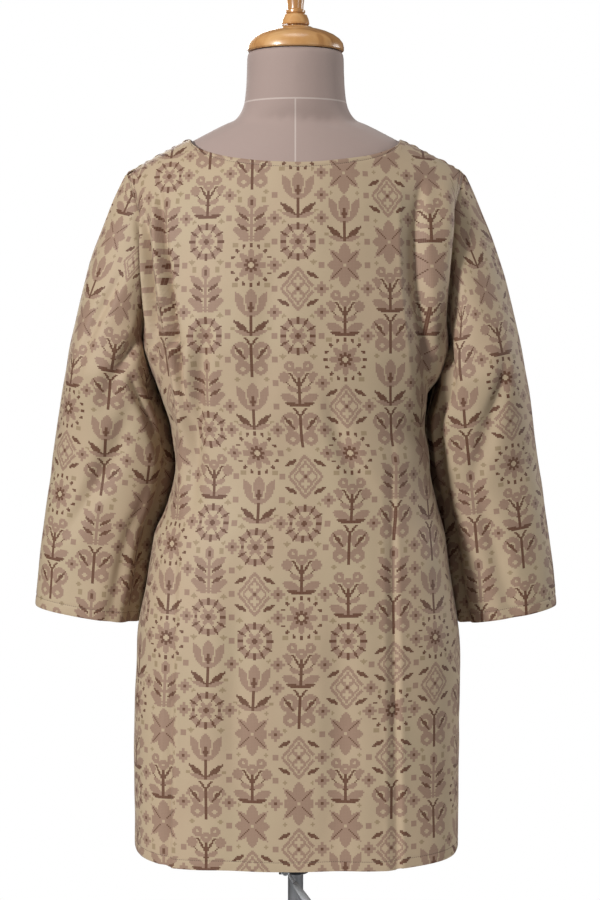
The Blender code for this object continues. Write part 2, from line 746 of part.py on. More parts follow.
def make_stand(coll, cutters):
    steel = make_material("steel", (0.55, 0.56, 0.58), 0.35, 1.0)
    dark = make_material("dark_steel", (0.08, 0.08, 0.09), 0.45, 0.8)
    grip = make_material("grip", (0.45, 0.46, 0.48), 0.5)
    make_cylinder(coll, "rod", ROD_RADIUS, ROD_BOTTOM_Z, FORM[0].z - SEAM_GAP, steel)
    foot = SOCKET_FLOOR_Z + RUNNING_GAP
    wall = [(TUBE_BORE, foot), (TUBE_BORE, TUBE_TOP_Z), (TUBE_RADIUS, TUBE_TOP_Z), (TUBE_RADIUS, foot)]
    turned(coll, "tube", wall, steel, 24)
    bore = TUBE_RADIUS + RUNNING_GAP
    profile = [
        (0, SOCKET_FLOOR_Z),
        (bore, SOCKET_FLOOR_Z),
        (bore, HUB_TOP_Z),
        (0.018, HUB_TOP_Z),
        (0.020, HUB_TOP_Z - 0.002),
        (0.022, 0.022),
        (0.030, 0.0165),
        (0.120, 0.0120),
        (0.180, 0.0080),
        (BASE_RADIUS - 0.001, 0.0055),
        (BASE_RADIUS, 0.0035),
        (BASE_RADIUS, 0),
        (0, 0),
    ]
    turned(coll, "base", profile, steel, 48)
    make_collar(coll, cutters, dark, bore)
    make_lever(coll, cutters, steel, grip)


def make_box(coll, name, low, high, material):
    mesh = bmesh.new()
    bmesh.ops.create_cube(mesh, size=1)
    size = Vector(high) - Vector(low)
    bmesh.ops.scale(mesh, vec=size, verts=mesh.verts)
    bmesh.ops.translate(mesh, vec=(Vector(high) + Vector(low)) / 2, verts=mesh.verts)
    data = bpy.data.meshes.new(name)
    mesh.to_mesh(data)
    mesh.free()
    return add_object(coll, name, data, material)


def make_collar(coll, cutters, material, bore):
    """A clamp collar round the tube's top, with a block behind it for the lever's screw."""
    low, high = COLLAR_Z
    collar = make_cylinder(coll, "collar", COLLAR_RADIUS, low, high, material, 32)
    block = make_box(
        cutters,
        "collar_block",
        (LEVER_X - BLOCK_HALF_WIDTH, BLOCK_INNER_Y, LEVER_Z - BLOCK_HALF_WIDTH),
        (LEVER_X + BLOCK_HALF_WIDTH, LEVER_FACE_Y - RUNNING_GAP, LEVER_Z + BLOCK_HALF_WIDTH),
        material,
    )
    hole = make_cylinder(cutters, "collar_bore", bore, low - 0.01, high + 0.01, material, 32)
    screw = make_cylinder(cutters, "screw_bore", PIN_RADIUS + RUNNING_GAP, 0, 0.020, material, 16)
    screw.rotation_euler = (radians(-90), 0, 0)
    screw.location = (LEVER_X, LEVER_FACE_Y - PIN_LENGTH - 0.001, LEVER_Z)
    boolean(collar, "UNION", block)
    boolean(collar, "DIFFERENCE", hole)
    boolean(collar, "DIFFERENCE", screw)


def make_lever(coll, cutters, steel, grip):
    """The clamp's lever: its screw and hub on the joint's axis along Y, and its arm with a grip."""
    hub = [
        (0, 0.0085),
        (0.0042, 0.0085),
        (0.0050, 0.0077),
        (0.0050, 0),
        (PIN_RADIUS, 0),
        (PIN_RADIUS, -PIN_LENGTH),
        (0, -PIN_LENGTH),
    ]
    pivot = (LEVER_X, LEVER_FACE_Y, LEVER_Z)
    lever = turned(coll, "lever", hub, steel, 24, pivot)
    lever.rotation_euler = (radians(-90), 0, 0)
    arm_profile = [
        (0, 0.068),
        (0.0030, 0.067),
        (0.0045, 0.064),
        (0.0050, 0.055),
        (0.0036, 0.024),
        (0.0028, 0.021),
        (0.0018, 0.0205),
        (0.0018, 0.001),
        (0, 0.001),
    ]
    arm = turned(cutters, "lever_arm", arm_profile, grip, 16)
    arm.location = (LEVER_X, LEVER_FACE_Y + 0.0042, LEVER_Z)
    arm.rotation_euler = (0, LEVER_LEAN, 0)
    boolean(lever, "UNION", arm)


def main():
    for obj in list(bpy.data.objects):
        bpy.data.objects.remove(obj)
    coll = bpy.data.collections.new("tunic_on_form")
    cutters = bpy.data.collections.new("cutters")
    bpy.context.scene.collection.children.link(coll)
    bpy.context.scene.collection.children.link(cutters)
    make_tunic(coll)
    make_neck(coll, make_torso(coll))
    make_neck_cap(coll)
    make_stand(coll, cutters)


main()
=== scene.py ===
# A long printed tunic with three-quarter sleeves on a limbless dress form, seen from behind.
# Metres, +Z up, the garment's front faces -Y and the camera stands on the +Y side.
import math

import bpy
import numpy as np
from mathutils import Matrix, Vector


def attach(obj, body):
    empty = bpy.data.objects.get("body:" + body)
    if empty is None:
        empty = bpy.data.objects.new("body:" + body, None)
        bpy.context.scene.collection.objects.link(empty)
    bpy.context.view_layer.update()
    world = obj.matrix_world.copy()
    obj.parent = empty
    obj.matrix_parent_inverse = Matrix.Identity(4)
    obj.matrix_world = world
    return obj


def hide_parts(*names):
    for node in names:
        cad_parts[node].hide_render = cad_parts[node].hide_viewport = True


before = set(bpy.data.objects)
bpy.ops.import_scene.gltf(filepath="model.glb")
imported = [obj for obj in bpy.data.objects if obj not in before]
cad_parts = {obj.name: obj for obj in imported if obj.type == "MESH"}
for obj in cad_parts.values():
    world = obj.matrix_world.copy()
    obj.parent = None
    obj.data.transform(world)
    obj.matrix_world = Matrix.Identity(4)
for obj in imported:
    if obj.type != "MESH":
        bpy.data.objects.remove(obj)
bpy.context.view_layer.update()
print("frame loaded:", len(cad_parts), "nodes")

# The tunic's cut, in the frame's own sizes
tunicRings = {  # the ring of cloth at each height below the underarm
    "z": (0.550, 0.700, 0.794, 0.867, 0.923, 0.960, 1.010, 1.050, 1.090, 1.150),
    "halfWidth": (0.1980, 0.1982, 0.1970, 0.1860, 0.1770, 0.1640, 0.1540, 0.1540, 0.1640, 0.1850),
    "shift": (-0.001, -0.001, -0.004, -0.004, -0.005, -0.008, -0.009, -0.004, -0.002, 0.0),
    "back": (0.127, 0.127, 0.126, 0.122, 0.117, 0.112, 0.108, 0.108, 0.110, 0.115),
    "front": (0.135, 0.136, 0.136, 0.134, 0.131, 0.129, 0.128, 0.132, 0.139, 0.145),
    "square": (3.4, 3.2, 3.0, 2.8, 2.7, 2.6, 2.6, 2.5, 2.5, 2.4),
}
armhole = {  # its edge as a share of the half width, up the arch from the underarm
    "angle": (0, 2, 5, 9, 15, 30, 48, 65, 90),
    "share": (1.0, 0.9955, 0.987, 0.973, 0.953, 0.938, 0.942, 0.955, 0.966),
}
sleeveRings = {  # "drop" is minus the height of the ring's inner end
    "drop": (-1.105, -1.065, -1.020, -0.970, -0.915, -0.865, -0.8155),
    "outerX": (0.2795, 0.2880, 0.2960, 0.3035, 0.3120, 0.3190, 0.3237),
    "y": (-0.008, -0.018, -0.028, -0.034, -0.034, -0.032, -0.030),
    "halfDepth": (0.0660, 0.0640, 0.0620, 0.0595, 0.0560, 0.0530, 0.0505),
}
sleeveSetting = {  # how the cloth sets out from the armhole, by the way up it
    "share": (0.0, 0.25, 0.50, 0.75, 1.0),
    "out": (0.85, 0.80, 0.58, 0.47, 0.48),
    "side": (0.0, 0.12, 0.12, 0.05, 0.0),
    "down": (0.50, 0.60, 0.82, 0.88, 0.88),
}
cut = {
    "hemZ": 0.550,
    "underarmZ": 1.150,
    "neckHalfWidth": 0.127,
    "neckPointZ": 1.4013,
    "neckLow": {1: 1.3666, -1: 1.300},
    "neckSquare": {1: 2.3, -1: 2.0},
    "tipX": 0.204,
    "slope": 0.536,
    "rounding": 0.030,
    "ridgeY": 0.005,
    "ridgeFade": 40,
    "seamBehindRidge": 0.0075,
    "shoulderGap": 0.00044,
    "seamGap": 0.0003,
    "archSquare": 2.3,
    "archOpening": 1.2,
    "sleeveTilt": 0.021,
    "sleeveSquare": 2.2,
    "sleeveClearance": 0.0022,
    "sleeveHang": (0.16, -0.05, -1.0),
    "clothThickness": 0.0009,
    "sewn": {"neck": 0.0060, "hem": 0.0115, "cuff": 0.0125, "armhole": (0.0022, 0.0062)},
}
drape = {
    "hemSag": 0.0085,  # how much lower the hem hangs in the middle than at the sides
    "sagFade": 0.180,
    "hemWave": 0.0006,
    "hemJog": (0.0018, 0.150, -0.1236),  # the back's hem steps down between its two pressed creases
    "jogWidth": 0.005,
    "cuffSag": 0.0040,
    "cuffFade": 0.12,
    "armholeSink": (0.0080, 0.008),  # depth and width of the sunk line between the sleeve and the body
    "sinkRange": (0.035, 0.195, 0.06),  # above the underarm: its fading in, its end and its fading out
    "sleeveSink": (0.0065, 0.006, 0.0065),  # depth, distance from the armhole and width
    "sleeveSinkRange": (0.10, 0.80, 0.15),  # its start, end and fading, by the way up the armhole
    "turnings": (0.0008, 0.003, 0.05),  # the seam's turnings lie inside the cap: height, start and end
    "tucks": 7,
    "tuckHeight": 0.0016,
    "tuckLength": 0.110,
    "tuckFade": 0.060,
    "tuckCrest": 0.62,
    "tuckUneven": (0.16, 0.25),  # in width and in height
    "panelRipple": 0.0007,
    "sleeveRipple": 0.0008,
}
grain = {  # how fine each piece's grid of points is
    "hemRows": 13,
    "hemHeight": 0.018,
    "lowerRows": 84,
    "archRows": 66,
    "topRows": 9,
    "topShare": 0.955,
    "neckColumns": {1: 42, -1: 48},
    "shoulderColumns": {1: 50, -1: 56},
    "capRings": 28,
    "capCrowding": 1.35,
    "capShare": 0.4,
    "sleeveRings": 76,
}
sewing = {
    "pitch": 0.0026,
    "length": 0.0021,
    "width": 0.00060,
    "sink": 0.00005,
    "roll": (0.0007, 0.0012),  # depth and width at an edge, and along a sewn line
    "dip": (0.00055, 0.0013),
}

# Folds in a panel: side, x and z at its start, middle and end, half width, depth, how far its surroundings
# are lifted, then for its +X side the width of a straight slope with a sharp lip, and a raised ridge
panelFolds = (
    (1, -0.1480, 1.355, -0.1470, 1.215, -0.1790, 1.030, 0.0075, 0.0180, 0.32, 0.023, 0),
    (1, -0.1760, 1.350, -0.1745, 1.275, -0.1680, 1.185, 0.0130, -0.0110, 0, 0, 0),
    (1, -0.1130, 1.060, -0.1178, 0.715, -0.1226, 0.410, 0.0036, 0.0070, 0.35, 0.012, 0),
    (1, -0.0400, 1.110, -0.0560, 1.035, -0.0950, 0.980, 0.0110, 0.0065, 0.40, 0, 0),
    (1, 0.1600, 1.340, 0.1450, 1.205, 0.1180, 1.030, 0.0044, 0.0145, 0.30, 0, 0.5),
    (1, 0.1790, 1.315, 0.1690, 1.235, 0.1640, 1.120, 0.0034, 0.0120, 0.30, 0, 0.7),
    (1, 0.1020, 1.190, 0.1130, 1.090, 0.1220, 0.950, 0.0085, 0.0100, 0.40, 0, 0.5),
    (1, 0.1390, 0.980, 0.1470, 0.670, 0.1530, 0.410, 0.0034, 0.0070, 0.35, 0.011, 0),
    (1, 0.0150, 0.735, 0.0320, 0.7325, 0.0500, 0.732, 0.0030, 0.0014, 0, 0, 0),
    (1, 0.0600, 0.940, 0.0700, 0.740, 0.0640, 0.540, 0.0200, 0.0060, 0.40, 0, 0),
    (1, -0.0450, 0.900, -0.0520, 0.720, -0.0420, 0.540, 0.0200, 0.0055, 0.40, 0, 0),
    (1, 0.0350, 1.300, 0.0300, 1.180, 0.0500, 1.060, 0.0200, 0.0035, 0.40, 0, 0),
    (-1, 0.0980, 1.270, 0.1060, 1.120, 0.1180, 0.960, 0.0140, 0.0100, 0.45, 0.018, 0),
    (-1, -0.1040, 1.250, -0.1100, 1.090, -0.1200, 0.930, 0.0140, 0.0100, 0.45, 0, 0.5),
    (-1, 0.0600, 0.960, 0.0740, 0.740, 0.0840, 0.480, 0.0150, 0.0085, 0.45, 0, 0.4),
    (-1, -0.0700, 0.930, -0.0820, 0.720, -0.0940, 0.480, 0.0150, 0.0080, 0.45, 0.016, 0),
    (-1, 0.0150, 1.120, 0.0050, 1.020, 0.0250, 0.900, 0.0180, 0.0055, 0.45, 0, 0),
)
# Folds in each sleeve: degrees round from the inner edge over the back and share of the length, at its start
# and end, half width in degrees, depth, lift
frontFolds = ((318, 0.12, 256, 0.52, 14, 0.0070, 0.45), (290, 0.40, 238, 0.85, 13, 0.0060, 0.45))
sleeveFolds = {
    1: (
        (40, 0.10, 98, 0.50, 8.5, 0.0105, 0.40),
        (66, 0.34, 38, 0.62, 6, 0.0075, 0.40),
        (22, 0.30, 28, 1.15, 17, 0.0150, 0.30),
        (70, 0.44, 116, 0.82, 8.5, 0.0095, 0.40),
        (52, 0.62, 66, 1.08, 8, 0.0070, 0.40),
        (112, 0.10, 128, 0.42, 8, 0.0065, 0.40),
        *frontFolds,
    ),
    -1: (
        (30, 0.08, 52, 0.46, 8, 0.0105, 0.40),
        (17, 0.28, 20, 0.84, 8, 0.0100, 0.35),
        (44, 0.30, 37, 0.78, 7, 0.0095, 0.40),
        (30, 0.60, 34, 1.12, 9, 0.0110, 0.35),
        (120, 0.34, 72, 0.68, 8.5, 0.0090, 0.40),
        (74, 0.64, 96, 1.06, 8.5, 0.0070, 0.40),
        *frontFolds,
    ),
}
sleeveScale = np.array([0.001, 0.48])  # metres to a degree and to the whole length
foldShape = {"steps": 24, "fade": 0.8, "liftSpread": 3, "ridgePlace": 1.7, "ridgeWidth": 0.95}


def ease(t):
    t = np.clip(t, 0, 1)
    return t * t * (3 - 2 * t)


def bell(x):
    return np.exp(-(x**2))


def unit(vectors):
    return vectors / np.maximum(np.linalg.norm(vectors, axis=-1, keepdims=True), 1e-12)


def bend(a, b, leave, arrive, t):  # a curve from a to b that leaves and arrives in the given directions
    s = 1 - t
    return a * (1 + 2 * t) * s**2 + b * t * t * (3 - 2 * t) + leave * t * s**2 - arrive * t * t * s


def curveThrough(table, column, at, key="z"):  # a smooth value between a table's rows, with no overshoot
    places, values = np.array(table[key], float), np.array(table[column], float)
    slopes = np.diff(values) / np.diff(places)
    level = slopes[:-1] * slopes[1:] > 0
    sums = np.where(level, slopes[:-1] + slopes[1:], 1)
    inner = np.where(level, 2 * slopes[:-1] * slopes[1:] / sums, 0)
    tangents = np.concatenate([slopes[:1], inner, slopes[-1:]])
    at = np.asarray(at, float)
    i = np.clip(np.searchsorted(places, at) - 1, 0, len(places) - 2)
    span = places[i + 1] - places[i]
    t = np.clip((at - places[i]) / span, 0, 1)
    return bend(values[i], values[i + 1], span * tangents[i], span * tangents[i + 1], t)


def waysAlong(points):  # the way from the first point to each
    steps = np.linalg.norm(np.diff(points, axis=0), axis=-1)
    return np.concatenate([np.zeros_like(steps[:1]), np.cumsum(steps, axis=0)])


def waysAcross(points):
    return waysAlong(points.swapaxes(0, 1)).swapaxes(0, 1)


def closeRound(values):
    return np.concatenate([values, values[:, :1]], axis=1)


def valueAt(way, ways, values):
    return np.array([np.interp(way, ways, values[:, k]) for k in range(3)])


def ringHalf(z, side, shares):  # the back (1) or front (-1) of a ring, by the share of the cloth's way across
    names = ("halfWidth", "shift", "back" if side > 0 else "front", "square")
    halfWidth, shift, depth, square = (curveThrough(tunicRings, name, z) for name in names)
    turns = np.linspace(-1, 1, 241) * np.pi / 2
    xs = halfWidth * np.sign(turns) * np.abs(np.sin(turns)) ** (2 / square)
    ys = side * depth * np.maximum(np.cos(turns), 0) ** (2 / square)
    ways = waysAlong(np.stack([xs, ys], axis=1))
    places = 2 * ways / ways[-1] - 1
    points = np.stack([np.interp(shares, places, xs) + shift, np.interp(shares, places, ys)], axis=1)
    return points, ways[-1] / 2


archBase = {}
for name in ("halfWidth", "back", "front", "square"):
    archBase[name] = float(curveThrough(tunicRings, name, cut["underarmZ"]))
archSpread = cut["tipX"] / armhole["share"][-1] - archBase["halfWidth"]


def archHalfWidth(angle):
    rise = np.maximum(np.sin(np.radians(angle)), 0)
    return archBase["halfWidth"] + archSpread * rise ** cut["archOpening"]


def archDepth(side, x, angle):
    share = np.minimum(np.abs(x) / archHalfWidth(angle), 1)
    full = np.where(side > 0, archBase["back"], archBase["front"])
    return full * np.maximum(1 - share ** archBase["square"], 0) ** (1 / archBase["square"])


def ridgeHeight(x):
    rounding = cut["rounding"]
    fall = np.sqrt(cut["neckHalfWidth"] ** 2 + rounding**2) - np.sqrt(x * x + rounding**2)
    return cut["neckPointZ"] + cut["slope"] * fall


def archPoint(side, x, angle):  # 0 degrees is at the underarm, 90 on the shoulder's ridge, more is past it
    x, angle = np.broadcast_arrays(np.asarray(x, float), np.asarray(angle, float))
    side = np.where(angle > 90, -side, side)
    angle = np.where(angle > 90, 180 - angle, angle)
    rise = np.radians(angle)
    exponent = 2 / cut["archSquare"]
    out = np.maximum(np.cos(rise), 0) ** exponent * archDepth(side, x, angle)
    y = ease(angle / cut["ridgeFade"]) * cut["ridgeY"] + side * out
    base = cut["underarmZ"]
    z = base + (ridgeHeight(x) - base) * np.maximum(np.sin(rise), 0) ** exponent
    return np.stack([x, y, z], axis=-1)


def angleAtHeight(x, z):
    share = (z - cut["underarmZ"]) / (ridgeHeight(x) - cut["underarmZ"])
    return np.degrees(np.arcsin(np.clip(share, 0, 1) ** (cut["archSquare"] / 2)))


def seamAngle(side, x):  # how far up the arch a panel meets the shoulder seam
    angle = np.full_like(x, 88.0)
    for _ in range(5):
        share = (cut["seamBehindRidge"] + side * cut["shoulderGap"] / 2) / archDepth(1, x, angle)
        angle = np.degrees(np.arccos(share ** (cut["archSquare"] / 2)))
    return angle if side > 0 else 180 - angle


def topEdge(side):  # half of a panel's upper edge as x and angle, and the way along it of each column
    half = cut["neckHalfWidth"]
    low, high = cut["neckLow"][side], cut["neckPointZ"]
    turns = np.linspace(0, np.pi / 2, 121)
    exponent = 2 / cut["neckSquare"][side]
    xs = half * np.sin(turns) ** exponent
    zs = low + (high - low) * (1 - np.maximum(np.cos(turns), 0) ** exponent)
    angles = angleAtHeight(xs, zs)
    seam = float(seamAngle(side, np.array([half]))[0])
    xs, angles = xs[angles < seam], angles[angles < seam]
    climb = np.linspace(angles[-1], seam, 12)[1:]
    shoulder = np.linspace(half, cut["tipX"], 121)[1:]
    neckCount = len(xs) + len(climb)
    xs = np.concatenate([xs, np.full(len(climb), half), shoulder])
    angles = np.concatenate([angles, climb, seamAngle(side, shoulder)])
    ways = waysAlong(archPoint(side, xs, angles))
    ways /= ways[-1]
    neckEnd = ways[neckCount - 1]
    neck = np.linspace(0, neckEnd, grain["neckColumns"][side] + 1)
    along = np.linspace(0, 1, grain["shoulderColumns"][side] + 1)[1:]
    if side > 0:  # closer together beside the armhole
        along = np.concatenate([along[:-4], np.linspace(along[-4], 1, 10)])
    return xs, angles, np.concatenate([neck, neckEnd + (1 - neckEnd) * along])


def clothWays(side):  # how far across and up the cloth each place on the arch lies
    xs, angles = np.linspace(0, 0.216, 55), np.linspace(0, 102, 103)
    grid = archPoint(side, xs[:, None], angles[None, :])
    return xs, angles, waysAlong(grid), waysAcross(grid)


def lookUp(xs, angles, values, x, angle):
    i = np.clip(x / xs[1], 0, len(xs) - 1.001)
    j = np.clip(angle / angles[1], 0, len(angles) - 1.001)
    a, b = i.astype(int), j.astype(int)
    s, t = i - a, j - b
    low = values[a, b] * (1 - s) + values[a + 1, b] * s
    high = values[a, b + 1] * (1 - s) + values[a + 1, b + 1] * s
    return low * (1 - t) + high * t


def foldRise(places, folds):  # each fold is a soft trough along a bent line, deepest in its middle
    rise = np.zeros(places.shape[:-1])
    steps = foldShape["steps"]
    t = np.linspace(0, 1, steps + 1)[:, None]
    for start, middle, end, halfWidth, depth, lift, slope, ridge in folds:
        line = (1 - t) ** 2 * start + 2 * t * (1 - t) * (2 * middle - (start + end) / 2) + t * t * end
        nearest, along, hand = (np.full(rise.shape, value) for value in (1e9, 0.0, 1.0))
        for k in range(steps):
            step = line[k + 1] - line[k]
            share = np.clip(((places - line[k]) @ step) / (step @ step), 0, 1)
            offset = places - line[k] - share[..., None] * step
            away = np.linalg.norm(offset, axis=-1)
            closer = away < nearest
            nearest = np.where(closer, away, nearest)
            along = np.where(closer, (k + share) / steps, along)
            hand = np.where(closer, np.sign(step[0] * offset[..., 1] - step[1] * offset[..., 0]), hand)
        fade = np.sin(np.pi * np.clip(along, 0, 1)) ** foldShape["fade"]
        trough = bell(nearest / halfWidth)
        if slope:
            trough = np.where(hand > 0, np.clip(1 - nearest / slope, 0, 1), trough)
        raised = lift * bell(nearest / halfWidth / foldShape["liftSpread"])
        place = nearest * hand / halfWidth - foldShape["ridgePlace"]
        raised = raised + ridge * bell(place / foldShape["ridgeWidth"])
        rise += depth * fade * (raised - trough)
    return rise


def sewnDip(distance, *places):  # the cloth rolls in at its edge and dips a little along each sewn line
    depth, width = sewing["roll"]
    dip = -depth * bell(distance / width)
    depth, width = sewing["dip"]
    for place in places:
        dip = dip - depth * bell((distance - place) / width)
    return dip


def ripple(u, v, height):  # the slight unevenness of worn cloth
    waves = ((31, 7, 0.3), (-17, 23, 1.9), (11, -41, 4.1), (53, 13, 2.2), (-37, 61, 5.0))
    finer = ((88, -34, 1.1), (-76, 58, 3.4), (112, 27, 0.6))
    soft = sum(np.sin(a * u + b * v + c + 1.3 * np.sin(b * u - a * v)) for a, b, c in waves)
    small = sum(np.sin(a * u + b * v + c + np.sin(19 * v - 31 * u)) for a, b, c in finer)
    return height * (soft / 3 + small / 5)


def gridNormals(points, closed=False):
    if closed:
        around = np.roll(points, -1, axis=1) - np.roll(points, 1, axis=1)
    else:
        around = np.gradient(points, axis=1)
    return unit(np.cross(around, np.gradient(points, axis=0)))


def hemHeights(side, x, z, shares):
    sag = drape["hemSag"] * (1 - shares**4) + drape["hemWave"] * np.sin(x * 48 + 0.7)
    if side > 0:
        step, left, right = drape["hemJog"]
        width = drape["jogWidth"]
        sag = sag + step * (ease((x - right) / width) - ease((x - left) / width))
    return z - sag * ease((cut["hemZ"] - z) / drape["sagFade"] + 1)


def tuckRise(points, phase, hands):  # uneven in width and in height
    wide, high = drape["tuckUneven"]
    crest = drape["tuckCrest"]
    phase = phase + wide * np.sin(phase * 2.3 + hands)
    shape = np.where(phase > 0, ease((phase % 1) / crest) * (1 - ease((phase % 1 - crest) / (1 - crest))), 0)
    shape = shape * (1 - high + high * np.sin(np.floor(phase) * 2.1 + 1.2 * hands))
    drop = points[-1, :, 2] - points[..., 2]
    return drape["tuckHeight"] * shape * ease((drape["tuckLength"] - drop) / drape["tuckFade"])


def panelGrid(side):
    edgeX, edgeAngle, tops = topEdge(side)
    count = len(tops)
    order = np.concatenate([np.arange(count - 1, 0, -1), np.arange(count)])
    hands = np.concatenate([-np.ones(count - 1), np.ones(count)])
    shares = hands * order / (count - 1)
    underarm, hemTop = cut["underarmZ"], cut["hemZ"] + grain["hemHeight"]
    hem = np.linspace(cut["hemZ"], hemTop, grain["hemRows"])[:-1]
    rows, maps = [], []
    for z in np.concatenate([hem, np.linspace(hemTop, underarm, grain["lowerRows"])[:-1]]):
        points, half = ringHalf(z, side, shares)
        heights = hemHeights(side, points[:, 0], z, shares)
        rows.append(np.column_stack([points, heights]))
        maps.append(np.column_stack([shares * half, heights - underarm]))
    lower = len(rows)
    xs, angles, across, up = clothWays(side)
    turns = np.linspace(0, grain["topShare"], grain["archRows"])[:-1]
    for turn in 90 * np.concatenate([turns, np.linspace(grain["topShare"], 1, grain["topRows"])]):
        turned = edgeAngle * turn / 90
        flat = np.minimum(turned, 180 - turned)
        edge = edgeX / cut["tipX"] * curveThrough(armhole, "share", flat, "angle") * archHalfWidth(flat)
        along = waysAlong(archPoint(side, edge, turned))
        even = np.linspace(0, 1, count)
        wanted = (even + (tops - even) * ease(turn / 90)) * along[-1]
        x, angle = np.interp(wanted, along, edge)[order], np.interp(wanted, along, turned)[order]
        rows.append(archPoint(side, hands * x, angle))
        u = lookUp(xs, angles, across, x, angle) * hands
        maps.append(np.column_stack([u, lookUp(xs, angles, up, x, angle)]))
    points, uv = np.array(rows), np.array(maps)
    normals = gridNormals(points)
    normals *= np.sign(normals[lower, count - 1, 1]) * side
    lines = [line for hand, *line in panelFolds if hand == side]
    folds = [(*np.reshape(line[:6], (3, 2)), *line[6:]) for line in lines]
    rise = foldRise(points[..., [0, 2]], folds) + ripple(uv[..., 0], uv[..., 1], drape["panelRipple"])
    neckEnd = tops[grain["neckColumns"][side]]
    if side < 0:
        rise = rise + tuckRise(points, (tops[order] - neckEnd) / (1 - neckEnd) * drape["tucks"], hands)
    rise = rise + sewnDip(waysAlong(points), cut["sewn"]["hem"])
    fromNeck = waysAlong(points[::-1])[::-1]
    rise = rise + np.where(tops[order] <= neckEnd, sewnDip(fromNeck, cut["sewn"]["neck"]), sewnDip(fromNeck))
    arch = points[lower:]
    fromArmhole = np.minimum(waysAcross(arch), waysAcross(arch[:, ::-1])[:, ::-1])
    rise[lower:] += sewnDip(fromArmhole, *cut["sewn"]["armhole"])
    depth, width = drape["armholeSink"]
    fadeIn, end, fadeOut = drape["sinkRange"]
    climb = arch[..., 2] - underarm
    rise[lower:] -= depth * ease(climb / fadeIn) * ease((end - climb) / fadeOut) * bell(fromArmhole / width)
    below = (points[..., 2] <= underarm + 1e-6) & (np.abs(shares)[None, :] > 0.999)
    points = points + normals * rise[..., None]
    points[..., 1] += np.where(below, side * cut["seamGap"] / 2, 0)
    return {"points": points, "normals": normals, "uv": uv, "lower": lower, "side": side, "middle": count - 1}


def armholeLoop(hand, back, front):  # from the underarm up the back to the shoulder's tip and down the front
    edge, beside = (-1, -3) if hand > 0 else (0, 2)
    parts = {}
    for name, column in (("points", edge), ("beside", beside)):
        up = back["points"][back["lower"] :, column]
        down = front["points"][front["lower"] :, column][::-1]
        ends = [(up[:1] + down[-1:]) / 2, up[1:-1], (up[-1:] + down[:1]) / 2, down[1:-1]]
        parts[name] = np.concatenate(ends)
    loop = parts["points"]
    along = unit(np.roll(loop, -1, axis=0) - np.roll(loop, 1, axis=0))
    outward = loop - parts["beside"]
    facing = unit(outward - along * np.sum(outward * along, axis=1, keepdims=True))
    facing[0] = (0, 0, 1)
    return loop + facing * cut["seamGap"]


def sleeveRing(hand, z, turns):
    shift, halfWidth = (curveThrough(tunicRings, name, z) for name in ("shift", "halfWidth"))
    innerX = hand * shift + halfWidth + cut["sleeveClearance"]
    outerX, y, depth = (curveThrough(sleeveRings, name, -z, "drop") for name in ("outerX", "y", "halfDepth"))
    exponent = 2 / cut["sleeveSquare"]
    across = -np.sign(np.cos(turns)) * np.abs(np.cos(turns)) ** exponent
    back = np.sign(np.sin(turns)) * np.abs(np.sin(turns)) ** exponent
    x = (innerX + outerX) / 2 + (outerX - innerX) / 2 * across
    return np.column_stack([hand * x, y + depth * back, z + cut["sleeveTilt"] * (1 + across) / 2])


def sleeveRise(hand, turns, shares, down):
    degrees = np.degrees(turns)[None, :] + np.zeros_like(shares)
    places = np.stack([degrees, shares + np.zeros_like(degrees)], axis=-1) * sleeveScale
    folds = []
    for turnA, shareA, turnB, shareB, halfWidth, depth, lift in sleeveFolds[hand]:
        start, end = np.array([turnA, shareA]) * sleeveScale, np.array([turnB, shareB]) * sleeveScale
        folds.append((start, (start + end) / 2, end, halfWidth * sleeveScale[0], depth, lift, 0, 0))
    rise = foldRise(places, folds) * ease(shares / 0.08)
    height, inner, outer = drape["turnings"]
    rise = rise + height * ease(down / inner) * (1 - ease(down / outer))
    depth, place, width = drape["sleeveSink"]
    first, last, fade = drape["sleeveSinkRange"]
    share = 1 - np.abs(turns / np.pi - 1)
    trench = depth * ease((share - first) / fade) * ease((last - share) / fade)
    return rise - trench * bell((down - place) / width) + sewnDip(down[-1] - down, cut["sewn"]["cuff"])


